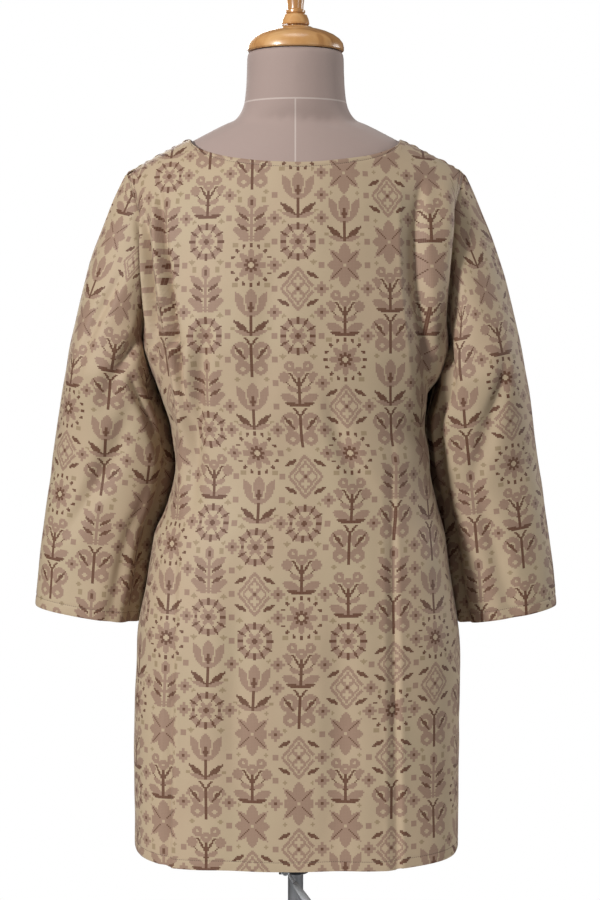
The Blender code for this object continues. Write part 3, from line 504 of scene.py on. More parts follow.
def sleeveGrid(hand, back, front):
    loop = armholeLoop(hand, back, front)
    tip = grain["archRows"] + grain["topRows"] - 2
    ways = waysAlong(np.concatenate([loop, loop[:1]]))
    up = ways[: tip + 1] / ways[tip]
    down = 1 + (ways[tip + 1 : -1] - ways[tip]) / (ways[-1] - ways[tip])
    turns = np.pi * np.concatenate([up, down])
    share = 1 - np.abs(turns / np.pi - 1)
    out, side, drop = (curveThrough(sleeveSetting, name, share, "share") for name in ("out", "side", "down"))
    high, low = -sleeveRings["drop"][0], -sleeveRings["drop"][-1]
    first = sleeveRing(hand, high, turns)
    reach = np.linalg.norm(first - loop, axis=1, keepdims=True)
    leave = unit(np.column_stack([hand * out, side * np.where(turns < np.pi, 1, -1), -drop])) * reach
    arrive = unit(np.array(cut["sleeveHang"]) * (hand, 1, 1)) * reach
    capShares = (np.arange(grain["capRings"]) / grain["capRings"]) ** grain["capCrowding"]
    rows = [bend(loop, first, leave, arrive, t) for t in capShares]
    cuffTop = low + grain["hemHeight"]
    heights = np.linspace(high, cuffTop, grain["sleeveRings"])
    heights = np.concatenate([heights, np.linspace(cuffTop, low, grain["hemRows"])[1:]])
    for z in heights:
        ring = sleeveRing(hand, z, turns)
        ring[:, 2] -= drape["cuffSag"] * ease((low - z) / drape["cuffFade"] + 1)
        rows.append(ring)
    points = np.array(rows)
    normals = gridNormals(points, closed=True) * hand
    around = waysAcross(closeRound(points))
    u = around - around[:, -1:] / 2
    down = waysAlong(points)
    v = -(down - down[grain["capRings"]])
    cap = grain["capShare"]
    shares = np.concatenate([cap * capShares, cap + (1 - cap) * (high - heights) / (high - low)])[:, None]
    rise = sleeveRise(hand, turns, shares, down)
    rise = rise + ripple(u[:, :-1] + hand * 0.3, v, drape["sleeveRipple"]) * ease(shares / 0.1)
    points = closeRound(points + normals * rise[..., None])
    return {"points": points, "normals": closeRound(normals), "uv": np.stack([u, closeRound(v)], axis=-1)}


def selectOnly(*pieces):
    bpy.ops.object.select_all(action="DESELECT")
    for piece in pieces:
        piece.select_set(True)
    bpy.context.view_layer.objects.active = pieces[0]


def applyModifier(piece, kind, **settings):
    selectOnly(piece)
    modifier = piece.modifiers.new(kind.title(), kind)
    for name, value in settings.items():
        setattr(modifier, name, value)
    bpy.ops.object.modifier_apply(modifier=modifier.name)


def mergePoints(piece, distance):
    selectOnly(piece)
    bpy.ops.object.mode_set(mode="EDIT")
    bpy.ops.mesh.select_all(action="SELECT")
    bpy.ops.mesh.remove_doubles(threshold=distance)
    bpy.ops.object.mode_set(mode="OBJECT")


def finishPiece(piece, name, look, body, nodes=(), sharp=40):
    selectOnly(piece)
    piece.name = name
    piece.data.name = name
    bpy.ops.object.transform_apply(location=True, rotation=True, scale=True)
    bpy.ops.object.shade_smooth_by_angle(angle=math.radians(sharp))
    piece.data.materials.clear()
    piece.data.materials.append(materials[look])
    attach(piece, body)
    if nodes:
        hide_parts(*nodes)
    return piece


def newMesh(name, points, faces, uv=None):
    data = bpy.data.meshes.new(name)
    data.from_pydata([tuple(p) for p in points], [], [tuple(f) for f in faces])
    if uv is not None:
        layer = data.uv_layers.new(name="cloth")
        corners = np.zeros(len(data.loops), int)
        data.loops.foreach_get("vertex_index", corners)
        layer.data.foreach_set("uv", uv[corners].astype(np.float32).ravel())
    piece = bpy.data.objects.new(name, data)
    bpy.context.scene.collection.objects.link(piece)
    return piece


def clothPiece(name, grid, look, node, flip):
    points = grid["points"]
    rows, columns = points.shape[:2]
    index = np.arange(rows * columns).reshape(rows, columns)
    corners = [index[:-1, :-1], index[:-1, 1:], index[1:, 1:], index[1:, :-1]]
    quads = np.stack(corners, axis=-1).reshape(-1, 4)
    if flip:
        quads = quads[:, ::-1]
    piece = newMesh(name, points.reshape(-1, 3), quads.tolist(), grid["uv"].reshape(-1, 2))
    mergePoints(piece, 1e-6)
    applyModifier(piece, "SOLIDIFY", thickness=cut["clothThickness"], offset=-1, use_rim=True)
    return finishPiece(piece, name, look, "form", [node], 60)


def edgeLine(grid, edge, distance):  # the line on a piece that runs this far inside one of its edges
    points, normals = grid["points"], grid["normals"]
    if edge in ("left", "right"):
        points, normals = points.swapaxes(0, 1), normals.swapaxes(0, 1)
    if edge in ("top", "right"):
        points, normals = points[::-1], normals[::-1]
    ways = waysAlong(points)
    columns = range(points.shape[1])
    line = np.array([valueAt(distance, ways[:, k], points[:, k]) for k in columns])
    out = np.array([valueAt(distance, ways[:, k], normals[:, k]) for k in columns])
    return line, unit(out)


def sewLine(name, lines):  # small raised stitches along the lines, as one mesh
    sides = 6
    turns = [2 * math.pi * k / sides for k in range(sides)]
    rings = [(x, math.cos(turn), math.sin(turn)) for x in (-0.62, 0.62) for turn in turns]
    base = np.array([(-1, 0, 0), *rings, (1, 0, 0)])
    faces = []
    for k in range(sides):
        j = (k + 1) % sides
        faces.append((0, 1 + j, 1 + k))
        faces.append((1 + k, 1 + j, 7 + j, 7 + k))
        faces.append((7 + k, 7 + j, 13))
    pitch, width = sewing["pitch"], sewing["width"]
    size = np.array([sewing["length"], width, width * 0.8]) / 2
    allPoints, allFaces = [], []
    for points, normals in lines:
        ways = waysAlong(points)
        for way in np.arange(pitch, ways[-1] - pitch, pitch):
            place = valueAt(way, ways, points)
            out = unit(valueAt(way, ways, normals))
            along = unit(valueAt(way + 0.001, ways, points) - place)
            across = unit(np.cross(out, along))
            first = len(allPoints) * len(base)
            allPoints.append(place - out * sewing["sink"] + (base * size) @ np.stack([along, across, out]))
            allFaces += [tuple(first + i for i in face) for face in faces]
    finishPiece(newMesh(name, np.concatenate(allPoints), allFaces), name, "thread", "form")


def turnPiece(profile, segments=96, ring=False, centre=(0, 0, 0)):  # a circle extruded up its profile
    radius, height = profile[0]
    place = Vector(centre)
    fill = "NOTHING" if ring else "NGON"
    bottom = place + Vector((0, 0, height))
    bpy.ops.mesh.primitive_circle_add(vertices=segments, radius=radius, fill_type=fill, location=bottom)
    bpy.ops.object.mode_set(mode="EDIT")
    bpy.ops.mesh.select_all(action="SELECT")
    for nextRadius, nextHeight in profile[1:]:
        bpy.ops.mesh.extrude_region_move(TRANSFORM_OT_translate={"value": (0, 0, nextHeight - height)})
        size = nextRadius / radius
        level = (place.x, place.y, place.z + nextHeight)
        bpy.ops.transform.resize(value=(size, size, 1), center_override=level)
        radius, height = nextRadius, nextHeight
    bpy.ops.mesh.select_all(action="SELECT")
    if ring:  # its profile ends where it starts
        bpy.ops.mesh.remove_doubles(threshold=1e-6)
    bpy.ops.mesh.normals_make_consistent(inside=False)
    bpy.ops.object.mode_set(mode="OBJECT")
    return bpy.context.object


def operator(name, turned=False):  # a method that adds a Math node
    def method(self, *others):
        return self.math(name, *others, self) if turned else self.math(name, self, *others)

    return method


class Wire:  # a socket of a material's tree, with arithmetic
    def __init__(self, tree, socket=None):
        self.tree = tree
        self.socket = socket

    def node(self, kind, settings=None, values=None, out=0):
        made = self.tree.nodes.new("ShaderNode" + kind)
        for name, value in (settings or {}).items():
            if name == "stops":
                fillRamp(made.color_ramp, value)
            else:
                setattr(made, name, value)
        for key, value in (values or {}).items():
            if isinstance(value, Wire):
                self.tree.links.new(value.socket, made.inputs[key])
            else:
                made.inputs[key].default_value = value
        return Wire(self.tree, made.outputs[out])

    def math(self, operation, *values):
        return self.node("Math", {"operation": operation}, dict(enumerate(values)))

    def blend(self, factor, first, second):
        first, second = (end if isinstance(end, Wire) else (*end, 1) for end in (first, second))
        return self.node("Mix", {"data_type": "RGBA"}, {0: factor, 6: first, 7: second}, 2)

    def mix(self, factor, other):  # from this colour to the other
        return self.blend(factor, self, other)

    def parts(self, kind="SeparateXYZ"):
        made = self.node(kind, None, {0: self}).socket.node
        return [Wire(self.tree, socket) for socket in made.outputs]

    def noise(self, scale, detail=2.0, **more):  # at this place
        return self.node("TexNoise", None, {"Vector": self, "Scale": scale, "Detail": detail, **more})

    def stretched(self, *scale):
        return self.node("Mapping", None, {0: self, "Scale": scale})

    def bump(self, strength, distance, **more):  # with this height
        values = {"Strength": strength, "Distance": distance, "Height": self, **more}
        return self.node("Bump", None, values)

    __add__ = operator("ADD")
    __sub__ = operator("SUBTRACT")
    __mul__ = operator("MULTIPLY")
    __truediv__ = operator("DIVIDE")
    __mod__ = operator("FLOORED_MODULO")
    __lt__ = operator("LESS_THAN")
    __gt__ = operator("GREATER_THAN")
    __radd__ = operator("ADD", True)
    __rsub__ = operator("SUBTRACT", True)
    __rmul__ = operator("MULTIPLY", True)
    floor = operator("FLOOR")
    absolute = operator("ABSOLUTE")
    sine = operator("SINE")
    root = operator("SQRT")
    larger = operator("MAXIMUM")
    smaller = operator("MINIMUM")


def fillRamp(ramp, stops):
    ramp.interpolation = "CONSTANT" if len(stops) > 8 else "LINEAR"
    while len(ramp.elements) < len(stops):
        ramp.elements.new(1.0)
    for i, (position, colour) in enumerate(stops):
        ramp.elements[i].position = position
        ramp.elements[i].color = (*colour, 1)


def newMaterial(name, roughness, metallic=0.0, **constants):
    material = bpy.data.materials.new(name)
    material.use_nodes = True
    tree = material.node_tree
    shader = tree.nodes["Principled BSDF"]
    constants.update(Roughness=roughness, Metallic=metallic)
    for socket, value in constants.items():
        shader.inputs[socket.replace("_", " ")].default_value = value
    return material, Wire(tree), shader


def connect(wire, shader, socket):
    wire.tree.links.new(wire.socket, shader.inputs[socket])


# The print: generic stitched motifs, charted as half shapes that mirror about their middle
chart = {"rows": 32, "half": 16, "stitch": 0.0017}
motifs = (
    (  # eight-pointed star
        (0, "leaf", (0, 17, 0, 31.5, 3.9), (0, 15, 0, 0.5, 3.9), (0.5, 16, 12.5, 16, 3.6)),
        (0, "leaf", (1, 17, 10.5, 26.5, 2.4), (1, 15, 10.5, 5.5, 2.4)),
        (1, "line", (1, 17, 8.5, 24.5, 0.6), (1, 15, 8.5, 7.5, 0.6)),
        (0, "disc", (0, 16, 3.2)),
        (-1, "disc", (0, 16, 1.5)),
        (2, "diamond", (9.5, 30.5, 2, 2), (9.5, 1.5, 2, 2)),
    ),
    (  # leafy sprig
        (0, "leaf", (1, 3, 13.5, 9, 2.9), (1, 10, 12, 16, 2.9), (1, 17, 11.5, 24.5, 2.8)),
        (1, "leaf", (2, 7.5, 10, 11.5, 1.2), (2, 14.5, 9, 19.5, 1.2)),
        (0, "leaf", (0, 22, 0, 32, 3.4)),
        (0, "line", (0, 0, 0, 25, 0.7)),
        (1, "leaf", (0, 24, 0, 30, 1.2)),
        (0, "leaf", (1, 1, 9, 2, 1.3)),
        (2, "disc", (8.5, 29, 1.9)),
    ),
    (  # butterfly
        (0, "disc", (7.2, 21.5, 6.4), (6, 10.5, 5.2)),
        (-1, "disc", (8, 21.5, 2.7)),
        (1, "disc", (8, 21.5, 1.6)),
        (1, "leaf", (3.5, 15.5, 12.5, 27, 0.9)),
        (1, "line", (0, 4, 0, 25, 1.1), (0, 25, 4, 31, 0.7)),
        (-1, "disc", (6, 9.5, 1.7)),
        (2, "diamond", (10, 2.5, 2.2, 2.2)),
    ),
    (  # tulip
        (0, "leaf", (0, 13, 0, 32, 5), (1.5, 13, 10.5, 29.5, 3.7)),
        (-1, "line", (3, 17, 5.4, 28, 0.6)),
        (1, "leaf", (0, 15.5, 0, 23, 1.6)),
        (1, "line", (0, 0, 0, 14, 0.8)),
        (1, "leaf", (0.5, 1, 12.5, 11, 1.8)),
        (0, "leaf", (0.5, 0.5, 10.5, 3.5, 1.7)),
        (2, "disc", (12.5, 5, 1.2)),
    ),
    (  # rosette in a ring of dots
        (0, "petals", (0, 16, 11, 8)),
        (1, "petals", (0, 16, 5.2, 8)),
        (-1, "disc", (0, 16, 1.6)),
        (1, "dots", (0, 16, 13.6, 16, 1.25)),
        (2, "disc", (11, 29.5, 1.9), (11, 2.5, 1.9)),
    ),
    (  # diamond round four small flowers
        (0, "diamond", (0, 16, 12.6, 16)),
        (-1, "diamond", (0, 16, 9.9, 12.8)),
        (0, "diamond", (0, 16, 8.8, 11.4)),
        (-1, "petals", (0, 21.2, 2.9, 4), (0, 10.8, 2.9, 4), (4.6, 16, 2.9, 4)),
        (1, "diamond", (0, 16, 1.9, 1.9)),
        (1, "leaf", (5.5, 27.5, 13.5, 23.5, 1.4), (5.5, 4.5, 13.5, 8.5, 1.4)),
    ),
    (  # wreath of leaves
        (0, "ring", (0, 16, 10.2, 2.2)),
        (1, "sprays", (0, 16, 10.2, 12, 4, 1.2)),
        (0, "petals", (0, 16, 6.2, 6)),
        (1, "disc", (0, 16, 1.7)),
        (2, "diamond", (10.5, 29.8, 2.4, 2), (10.5, 2.2, 2.4, 2)),
    ),
    (  # berry branch
        (1, "line", (0, 0, 0, 20, 0.8), (0, 8, 10, 18, 0.7), (0, 13, 6, 23, 0.7)),
        (0, "disc", (10, 20, 3.8), (6.3, 27.6, 3.6), (0, 23.5, 3.9)),
        (-1, "disc", (0, 23.5, 1.1), (6.3, 27.6, 1.1)),
        (0, "leaf", (0.5, 3, 13, 8, 3)),
        (1, "leaf", (0.5, 0.6, 10.5, 2.6, 1.5)),
        (0, "leaf", (0.5, 10, 8.5, 13.5, 1.7)),
    ),
)


def shapeMask(kind, x, y, sizes):
    if kind in ("leaf", "line"):
        ax, ay, bx, by, width = sizes
        dx, dy = bx - ax, by - ay
        length = math.hypot(dx, dy)
        t = ((x - ax) * dx + (y - ay) * dy) / length**2
        away = np.abs((x - ax) * dy - (y - ay) * dx) / length
        wide = width * np.sin(np.pi * np.clip(t, 0, 1)) ** 0.7 if kind == "leaf" else width
        return (t >= 0) & (t <= 1) & (away < wide)
    cx, cy, size, *more = sizes
    away, turn = np.hypot(x - cx, y - cy), np.arctan2(y - cy, x - cx)
    if kind == "disc":
        return away < size
    if kind == "ring":
        return np.abs(away - size) < more[0]
    if kind == "diamond":
        return np.abs(x - cx) / size + np.abs(y - cy) / more[0] < 1
    if kind == "petals":
        return away < size * (0.5 + 0.5 * np.abs(np.cos(more[0] * turn / 2)))
    step = 2 * np.pi / more[0]
    offset = np.abs((turn + step / 2) % step - step / 2) * away
    if kind == "dots":
        return np.hypot(offset, away - size) < more[1]
    return (offset / more[2] + np.abs(away - size) / more[1]) < 1  # sprays


def motifStops(groups):  # one ramp stop for each row; each ink's row of stitches is the bits of one number
    x, y = np.meshgrid(np.arange(chart["half"]) + 0.5, np.arange(chart["rows"]) + 0.5)
    inks = np.zeros((3, chart["rows"], chart["half"]), bool)
    for ink, kind, *shapes in groups:  # a shape clears what lies under it, and -1 leaves it clear
        for sizes in shapes:
            mask = shapeMask(kind, x, y, sizes)
            inks[:, mask] = False
            if ink >= 0:
                inks[ink, mask] = True
    bits = 0.5 ** np.arange(1, chart["half"] + 1)
    numbers = (inks * bits).sum(axis=2)
    return [(row / chart["rows"], tuple(numbers[:, row])) for row in range(chart["rows"])]


printColours = {
    "ground": (0.405, 0.332, 0.212),
    "blush": (0.460, 0.326, 0.225),
    "slub": (0.330, 0.265, 0.160),
    "shade": (0.290, 0.230, 0.140),
    "mauve": (0.250, 0.148, 0.108),
    "dark": (0.105, 0.038, 0.020),
    "olive": (0.240, 0.170, 0.090),
}
inkCovers = {"mauve": 0.84, "dark": 1.0, "olive": 0.75}
filler = {"leftOut": 0.22, "small": 0.58, "size": 2.8, "more": 2.0, "centre": 1.4}


def chance(column, row, seed):  # an even scatter of numbers from 0 to 1, one for each place in the print
    return ((column * 12.99 + row * 78.23 + seed).sine() * 437.5) % 1


def fillers(columns, rows):  # small flowers of two sizes between the motifs, with some left out
    edgeColumn, edgeRow = (columns + 0.5).floor(), (rows * 2 + 0.5).floor()
    x = ((columns + 0.5 - edgeColumn) * chart["rows"] - chart["half"]).absolute().floor() + 0.5
    y = ((rows * 2 + 0.5 - edgeRow) * chart["half"]).floor() + 0.5 - chart["half"] / 2
    scatter = chance(edgeColumn, edgeRow, 4.1)
    large = scatter > filler["small"]
    size = (scatter > filler["leftOut"]) * (large * filler["more"] + filler["size"])
    away = (x * x + y * y).root()
    petals = (y.math("ARCTAN2", y, x) * 4 + math.pi / 2).sine().absolute()
    return away < size + 1, away < size * (petals * 0.5 + 0.5), (away < filler["centre"]) * large


def printedCloth(name, offset):
    look = {"Sheen_Weight": 0.10, "Sheen_Roughness": 0.45, "Specular_IOR_Level": 0.30}
    material, start, shader = newMaterial(name, 0.62, **look)
    place = start.node("UVMap", {"uv_map": "cloth"})
    u, v = (part + shift for part, shift in zip(place.parts(), offset))
    cell = chart["rows"] * chart["stitch"]
    column = (u / cell).floor()
    lifted = v / cell + (column % 2) * 0.5
    row = lifted.floor()
    x = (u / cell - column) * chart["rows"]
    y = (lifted - row) * chart["rows"]
    half = (x - chart["half"]).absolute().floor()
    kind = (chance(column, row, 1.7) * len(motifs) / 2).floor() * 2 + row % 2  # no motif stands over itself
    across = (y.floor() + 0.5) / chart["rows"]
    packed = None
    for number, groups in enumerate(motifs):
        motif = start.node("ValToRGB", {"stops": motifStops(groups)}, {0: across})
        chosen = start.math("COMPARE", kind, float(number), 0.5)
        packed = motif if packed is None else packed.mix(chosen, motif)
    scale = start.math("POWER", 2.0, half + 1)
    tiny = 0.25 / 2 ** chart["half"]
    inks = [((channel + tiny) * scale).floor() % 2 for channel in packed.parts("SeparateColor")[:3]]
    space, flower, centre = fillers(u / cell, v / cell)
    inks = [ink * (1 - space) for ink in inks]
    inks[0] = inks[0] + flower * (1 - centre)
    inks[1] = inks[1] + centre
    edge = (x % 1 - 0.5).absolute().larger((y % 1 - 0.5).absolute())
    stitch = 1 - (edge > 0.42) * 0.22
    cloudy = place.noise(9.0, 3.0)
    slub = place.stretched(240, 1900, 1).noise(1.0)
    colour = start.blend(cloudy, printColours["ground"], printColours["blush"])
    colour = colour.mix((slub - 0.35) * 0.30, printColours["slub"])
    for ink, (shade, cover) in zip(inks, inkCovers.items()):
        colour = colour.mix(ink * stitch * cover, printColours[shade])
    colour = colour.mix((cloudy - 0.45) * 0.22, printColours["shade"])
    connect(colour, shader, "Base Color")
    connect(0.56 + slub * 0.12, shader, "Roughness")
    weave = (u * 9000.0).sine() * (v * 9000.0).sine() * 0.3 + slub
    soft = place.noise(26.0, 4.0, Roughness=0.55)
    connect(soft.bump(0.35, 0.0016, Normal=weave.bump(0.20, 0.0002)), shader, "Normal")
    return material


def speckled(name, colour, other, scale, roughness, metallic=0.0, stretch=(1, 1, 1)):
    material, start, shader = newMaterial(name, roughness, metallic)
    noise = start.node("TexCoord", out=3).stretched(*stretch).noise(scale, 4.0)
    connect(start.blend(noise, colour, other), shader, "Base Color")
    connect(noise * 0.16 + (roughness - 0.08), shader, "Roughness")
    connect(noise.bump(0.3, 0.0001), shader, "Normal")
    return material


def formCover():
    material, start, shader = newMaterial("formCover", 0.85, Sheen_Weight=0.2, Sheen_Roughness=0.5)
    place = start.node("TexCoord", out=3)
    x, y, z = place.parts()
    knit, cloudy = place.noise(900.0), place.noise(14.0, 3.0)
    neckZ, seamWidth = form["neckSeamZ"], form["seamWidth"]
    backSeam = (x.absolute() < seamWidth) * (y > 0.0) * (z < neckZ)
    seam = backSeam.larger((z - neckZ).absolute() < seamWidth)
    colour = start.blend(cloudy * 0.35, (0.345, 0.257, 0.226), (0.297, 0.215, 0.191))
    colour = colour.mix(knit * 0.25, (0.400, 0.312, 0.278))
    connect(colour.mix(seam * 0.55, (0.62, 0.53, 0.48)), shader, "Base Color")
    connect((knit - seam * 0.6).bump(0.35, 0.0003), shader, "Normal")
    return material


def turnedWood():
    material, start, shader = newMaterial("turnedWood", 0.32, Coat_Weight=0.35, Coat_Roughness=0.18)
    place = start.node("TexCoord", out=3)
    growth = place.stretched(22, 90, 14).noise(1.0, 6.0, Distortion=0.8)
    pores = place.stretched(120, 900, 60).noise(1.0)
    stops = [(0.30, (0.30, 0.125, 0.040)), (0.48, (0.56, 0.29, 0.105)), (0.70, (0.68, 0.40, 0.17))]
    colour = start.node("ValToRGB", {"stops": stops}, {0: growth})
    connect(colour.mix(pores * 0.25, (0.22, 0.09, 0.03)), shader, "Base Color")
    connect(0.24 + pores * 0.14, shader, "Roughness")
    connect(pores.bump(0.15, 0.0001), shader, "Normal")
    return material


form = {"voxel": 0.004, "smoothing": 14, "sinkNeck": 0.005, "neckSeamZ": 1.444, "seamWidth": 0.0009}
steels = {  # name, two colours, the speckles' scale, roughness, metallic and stretch
    "steel": ("brushedSteel", (0.56, 0.57, 0.59), (0.42, 0.43, 0.45), 60.0, 0.32, 1.0, (1, 1, 30)),
    "baseSteel": ("baseSteel", (0.36, 0.37, 0.39), (0.28, 0.29, 0.31), 90.0, 0.50, 0.9, (9, 9, 1)),
    "dark": ("darkSteel", (0.030, 0.030, 0.034), (0.060, 0.060, 0.066), 300.0, 0.42, 0.6),
    "grip": ("leverGrip", (0.40, 0.41, 0.42), (0.30, 0.31, 0.32), 400.0, 0.5),
}
materials = {
    "back": printedCloth("printBack", (0.0304, 0.012)),
    "front": printedCloth("printFront", (0.0100, 0.030)),
    "left": printedCloth("printSleeveLeft", (0.0210, 0.047)),
    "right": printedCloth("printSleeveRight", (0.0440, 0.005)),
    "thread": speckled("thread", (0.10, 0.065, 0.045), (0.06, 0.04, 0.03), 800.0, 0.6),
    "cover": formCover(),
    "wood": turnedWood(),
    **{look: speckled(*settings) for look, settings in steels.items()},
}
print("materials made:", len(materials))


def makeTunic():
    back, front = panelGrid(1), panelGrid(-1)
    left, right = sleeveGrid(1, back, front), sleeveGrid(-1, back, front)
    grids = {"back": back, "front": front, "left": left, "right": right}
    plans = (  # name, grid, node, whether its faces are turned, flat width and length, share that is cut
        ("back_cloth", "back", "back_panel", True, (0.57, 0.91), 0.82),
        ("front_cloth", "front", "front_panel", False, (0.58, 0.95), 0.78),
        ("sleeve_left_cloth", "left", "sleeve_left", False, (0.50, 0.55), 0.65),
        ("sleeve_right_cloth", "right", "sleeve_right", True, (0.50, 0.55), 0.65),
    )
    for name, look, node, flip, flat, share in plans:
        piece = clothPiece(name, grids[look], look, node, flip)
        print("cloth:", name, len(piece.data.polygons))
    sewn = cut["sewn"]
    necks, armholes = [], []
    for grid in (back, front):
        points, normals = edgeLine(grid, "top", sewn["neck"])
        count = grain["neckColumns"][grid["side"]]
        keep = slice(grid["middle"] - count, grid["middle"] + count + 1)
        necks.append((points[keep], normals[keep]))
        for edge in ("left", "right"):
            for distance in sewn["armhole"]:
                points, normals = edgeLine(grid, edge, distance)
                armholes.append((points[grid["lower"] :], normals[grid["lower"] :]))
    sewLine("neck_stitches", necks)
    sewLine("hem_stitches", [edgeLine(grid, "bottom", sewn["hem"]) for grid in (back, front)])
    sewLine("cuff_stitches", [edgeLine(grid, "top", sewn["cuff"]) for grid in (left, right)])
    sewLine("armhole_stitches", armholes)
    print("stitches sewn")


def makeForm():
    copies = []
    for node in ("form_torso", "form_neck"):
        copy = bpy.data.objects.new(node + "_copy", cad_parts[node].data.copy())
        bpy.context.scene.collection.objects.link(copy)
        copies.append(copy)
    neckBottom = min(v.co.z for v in copies[1].data.vertices)
    for vertex in copies[1].data.vertices:
        if vertex.co.z < neckBottom + 0.0001:
            vertex.co.z -= form["sinkNeck"]
    selectOnly(*copies)
    bpy.ops.object.join()
    cover = bpy.context.object
    mergePoints(cover, 1e-5)
    cover.data.remesh_voxel_size = form["voxel"]
    bpy.ops.object.voxel_remesh()
    applyModifier(cover, "SMOOTH", factor=0.5, iterations=form["smoothing"])
    cover = finishPiece(cover, "form_cover", "cover", "form", ["form_torso", "form_neck"])
    print("form cover:", len(cover.data.polygons))


cap = {
    "centre": (0, 0.005, 1.5053),
    "radius": 0.0583,
    "topRadius": 0.020,
    "rise": 0.0291,
    "edge": 0.005,
    "round": 0.0015,
    "flat": 0.915,
}
finial = {
    "centre": (0, 0.005, 1.5347),
    "stem": [
        (0.0094, 0), (0.0094, 0.002), (0.016, 0.0025), (0.0168, 0.004), (0.016, 0.0085), (0.0138, 0.014),
        (0.01, 0.0155), (0.0118, 0.017), (0.0118, 0.0195), (0.0096, 0.021), (0.0098, 0.026), (0.0108, 0.034),
        (0.0125, 0.044), (0.0144, 0.053),
    ],
    "knobZ": 0.062,
    "knobRadius": 0.0155,
}


def makeWood():
    radius, rise, edge = cap["radius"], cap["rise"], cap["edge"]
    profile = [(radius - cap["round"], 0), (radius, cap["round"]), (radius, edge)]
    for a in np.radians((78, 66, 54, 42, 32, 24)):
        profile.append((radius * math.sin(a), edge + (rise - edge) * math.cos(a)))
    piece = turnPiece(profile + [(cap["topRadius"], rise)], centre=cap["centre"])
    selectOnly(piece)
    bpy.ops.transform.resize(value=(1, cap["flat"], 1), center_override=cap["centre"])
    finishPiece(piece, "neck_cap_wood", "wood", "form", ["neck_cap"], 30)
    profile = list(finial["stem"])
    radius, middle = finial["knobRadius"], finial["knobZ"]
    for a in np.radians(np.linspace(0, 84, 9)):
        profile.append((radius * math.cos(a), middle + radius * math.sin(a)))
    piece = turnPiece(profile, 64, centre=finial["centre"])
    finishPiece(piece, "finial_wood", "wood", "form", ["finial"], 30)
    print("wood turned")


stand = {
    "rodRadius": 0.0075,
    "rodLow": 0.250,
    "rodHigh": 0.6597,
    "tubeRadius": 0.0095,
    "tubeBore": 0.0081,
    "tubeLow": 0.0124,
    "tubeHigh": 0.530,
    "tubeEdge": 0.0004,
    "collarRadius": 0.0170,
    "collarLow": 0.502,
    "collarHigh": 0.528,
    "collarBore": 0.00985,
    "collarEdge": 0.0008,
    "block": (0.016, 0.004, 0.0003),  # width, how far in it starts, gap to the lever
    "screwHole": 0.0029,
    "leverPlace": (0.0125, 0.0210, 0.512),
    "leverLean": 214,
    "leverOut": 0.0042,
    "baseRadius": 0.190,
}
profiles = {
    "plate": [  # from the plate's rim up to the top of its hub
        (0.18, 0.008), (0.12, 0.012), (0.06, 0.0148), (0.03, 0.0165), (0.024, 0.0185), (0.022, 0.022),
        (0.02, 0.046), (0.018, 0.048), (0.0105, 0.048),
    ],
    "hub": [(0.0025, -0.007), (0.0025, 0), (0.005, 0), (0.005, 0.0077), (0.0042, 0.0085)],
    "arm": [
        (0.0018, 0.001), (0.0018, 0.0205), (0.0028, 0.021), (0.0036, 0.024), (0.0044, 0.04), (0.005, 0.055),
        (0.0045, 0.064), (0.003, 0.067), (0.001, 0.068),
    ],
}


def ofStand(part, *keys):
    return (stand[part + key] for key in keys)


def makeStand():
    radius, low, high = ofStand("rod", "Radius", "Low", "High")
    rod = turnPiece([(radius, low), (radius, high)], 48)
    finishPiece(rod, "rod_steel", "steel", "rod", ["rod"])
    radius, bore, low, high, edge = ofStand("tube", "Radius", "Bore", "Low", "High", "Edge")
    outline = [(bore, low), (radius, low), (radius, high - edge)]
    outline += [(radius - edge, high), (bore, high), (bore, low)]
    finishPiece(turnPiece(outline, 48, True), "tube_steel", "steel", "stand", ["tube"])
    radius = stand["baseRadius"]
    rim = [(radius, 0), (radius, 0.0035), (radius - 0.001, 0.0055)]
    base = turnPiece(rim + profiles["plate"], 128)
    finishPiece(base, "base_steel", "baseSteel", "stand", ["base"], 25)
    makeCollar()
    makeLever()
    print("stand built")


def drill(piece, radius, place, rotation=(0, 0, 0)):
    size = {"vertices": 48, "radius": radius, "depth": 0.03}
    bpy.ops.mesh.primitive_cylinder_add(location=place, rotation=rotation, **size)
    cutter = bpy.context.object
    applyModifier(piece, "BOOLEAN", operation="DIFFERENCE", object=cutter, solver="EXACT")
    bpy.data.objects.remove(cutter)


def makeCollar():
    bore, radius, low, high, edge = ofStand("collar", "Bore", "Radius", "Low", "High", "Edge")
    outline = [(bore, low), (radius - edge, low), (radius, low + edge), (radius, high - edge)]
    outline += [(radius - edge, high), (bore, high), (bore, low)]
    ring = turnPiece(outline, 64, True)
    x, y, z = stand["leverPlace"]
    width, inner, gap = stand["block"]
    outer = y - gap
    size = (width, outer - inner, width)
    bpy.ops.mesh.primitive_cube_add(size=1, location=(x, (inner + outer) / 2, z), scale=size)
    block = bpy.context.object
    bpy.ops.object.transform_apply(location=False, rotation=False, scale=True)
    applyModifier(block, "BEVEL", width=edge, segments=2)
    drill(block, bore + 0.0005, (0, 0, z))
    drill(block, stand["screwHole"], (x, y + 0.007, z), (math.radians(90), 0, 0))
    selectOnly(ring, block)
    bpy.ops.object.join()
    finishPiece(bpy.context.object, "collar_steel", "dark", "stand", ["collar"], 30)


def makeLever():
    x, y, z = stand["leverPlace"]
    hub = turnPiece(profiles["hub"], 32)
    hub.rotation_euler = (math.radians(-90), 0, 0)
    hub.location = (x, y, z)
    arm = turnPiece(profiles["arm"], 32)
    arm.rotation_euler = (0, math.radians(stand["leverLean"]), 0)
    arm.location = (x, y + stand["leverOut"], z)
    finishPiece(hub, "lever_hub", "steel", "lever", ["lever"], 30)
    finishPiece(arm, "lever_arm", "grip", "lever", (), 30)


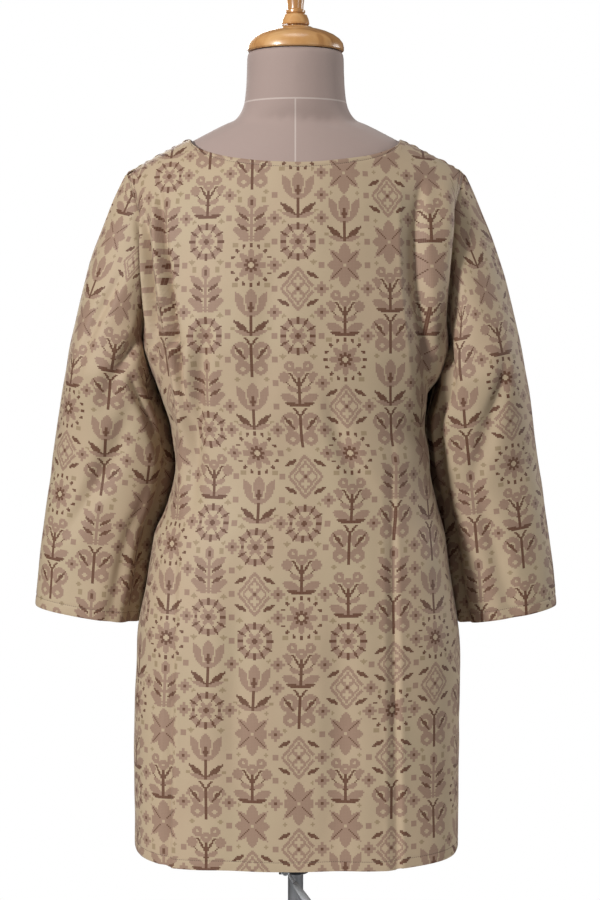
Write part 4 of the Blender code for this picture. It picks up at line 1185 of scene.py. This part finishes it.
# The room: a pale floor, soft light and the photo's camera
room = {
    "distance": 2.2,
    "height": 1.172,
    "aside": -0.0055,
    "pitch": 3.8,
    "lens": 72.2,
    "floorSize": 2.9,
    "floorReach": (1.30, 0.75),  # where the floor has faded away, and the width of its fading
    "floorGlow": 0.35,
    "ambient": 0.07,
    "backdrop": 1.0,
    "aim": (0, 0, 1.05),
    "lights": (  # name, place, size, power
        ("keyLight", (2.3, 2.7, 2.1), 0.5, 136),
        ("fillLight", (-2.4, 2.8, 1.4), 1.0, 19),
        ("sideLight", (-2.8, -0.9, 1.6), 1.2, 40),
        ("frontLight", (0.9, -2.8, 2.2), 1.6, 66),
        ("topLight", (0.0, 0.8, 4.4), 1.6, 30),
    ),
}


def addLight(name, place, size, power):
    bpy.ops.object.light_add(type="AREA", location=place)
    light = bpy.context.object
    light.name = name
    light.rotation_euler = (Vector(room["aim"]) - Vector(place)).to_track_quat("-Z", "Y").to_euler()
    light.data.size = size
    light.data.energy = power


def makeFloor():
    bpy.ops.mesh.primitive_plane_add(size=room["floorSize"], location=(0, 0, 0))
    floor = bpy.context.object
    floor.name = "floor"
    material, start, shader = newMaterial("paleFloor", 0.9, Emission_Strength=room["floorGlow"])
    shader.inputs["Base Color"].default_value = (0.93, 0.93, 0.93, 1)
    shader.inputs["Emission Color"].default_value = (1, 1, 1, 1)
    x, y, _ = start.node("TexCoord", out=3).parts()
    reach, fading = room["floorReach"]
    left = (reach - (x * x + y * y).root()) / fading
    connect(left.larger(0.0).smaller(1.0), shader, "Alpha")
    floor.data.materials.append(material)


def makeWorld():
    world = bpy.data.worlds.new("paleRoom")
    bpy.context.scene.world = world
    world.use_nodes = True
    tree = world.node_tree
    sky = tree.nodes["Background"]
    shown = tree.nodes.new("ShaderNodeBackground")  # the white that the camera sees behind the form
    for node, strength in ((sky, room["ambient"]), (shown, room["backdrop"])):
        node.inputs["Color"].default_value = (1, 1, 1, 1)
        node.inputs["Strength"].default_value = strength
    choice = tree.nodes.new("ShaderNodeMixShader")
    camera = tree.nodes.new("ShaderNodeLightPath").outputs["Is Camera Ray"]
    for i, socket in enumerate((camera, sky.outputs[0], shown.outputs[0])):
        tree.links.new(socket, choice.inputs[i])
    tree.links.new(choice.outputs[0], tree.nodes["World Output"].inputs["Surface"])
    bpy.context.scene.view_settings.view_transform = "Standard"


def makeCamera():
    place = (room["aside"], room["distance"], room["height"])
    bpy.ops.object.camera_add(location=place, rotation=(math.radians(90 - room["pitch"]), 0, math.pi))
    camera = bpy.context.object
    camera.data.sensor_fit = "VERTICAL"
    camera.data.sensor_height = 36
    camera.data.lens = room["lens"]
    bpy.context.scene.camera = camera


makeForm()
makeTunic()
makeWood()
makeStand()
makeFloor()
makeWorld()
for settings in room["lights"]:
    addLight(*settings)
makeCamera()
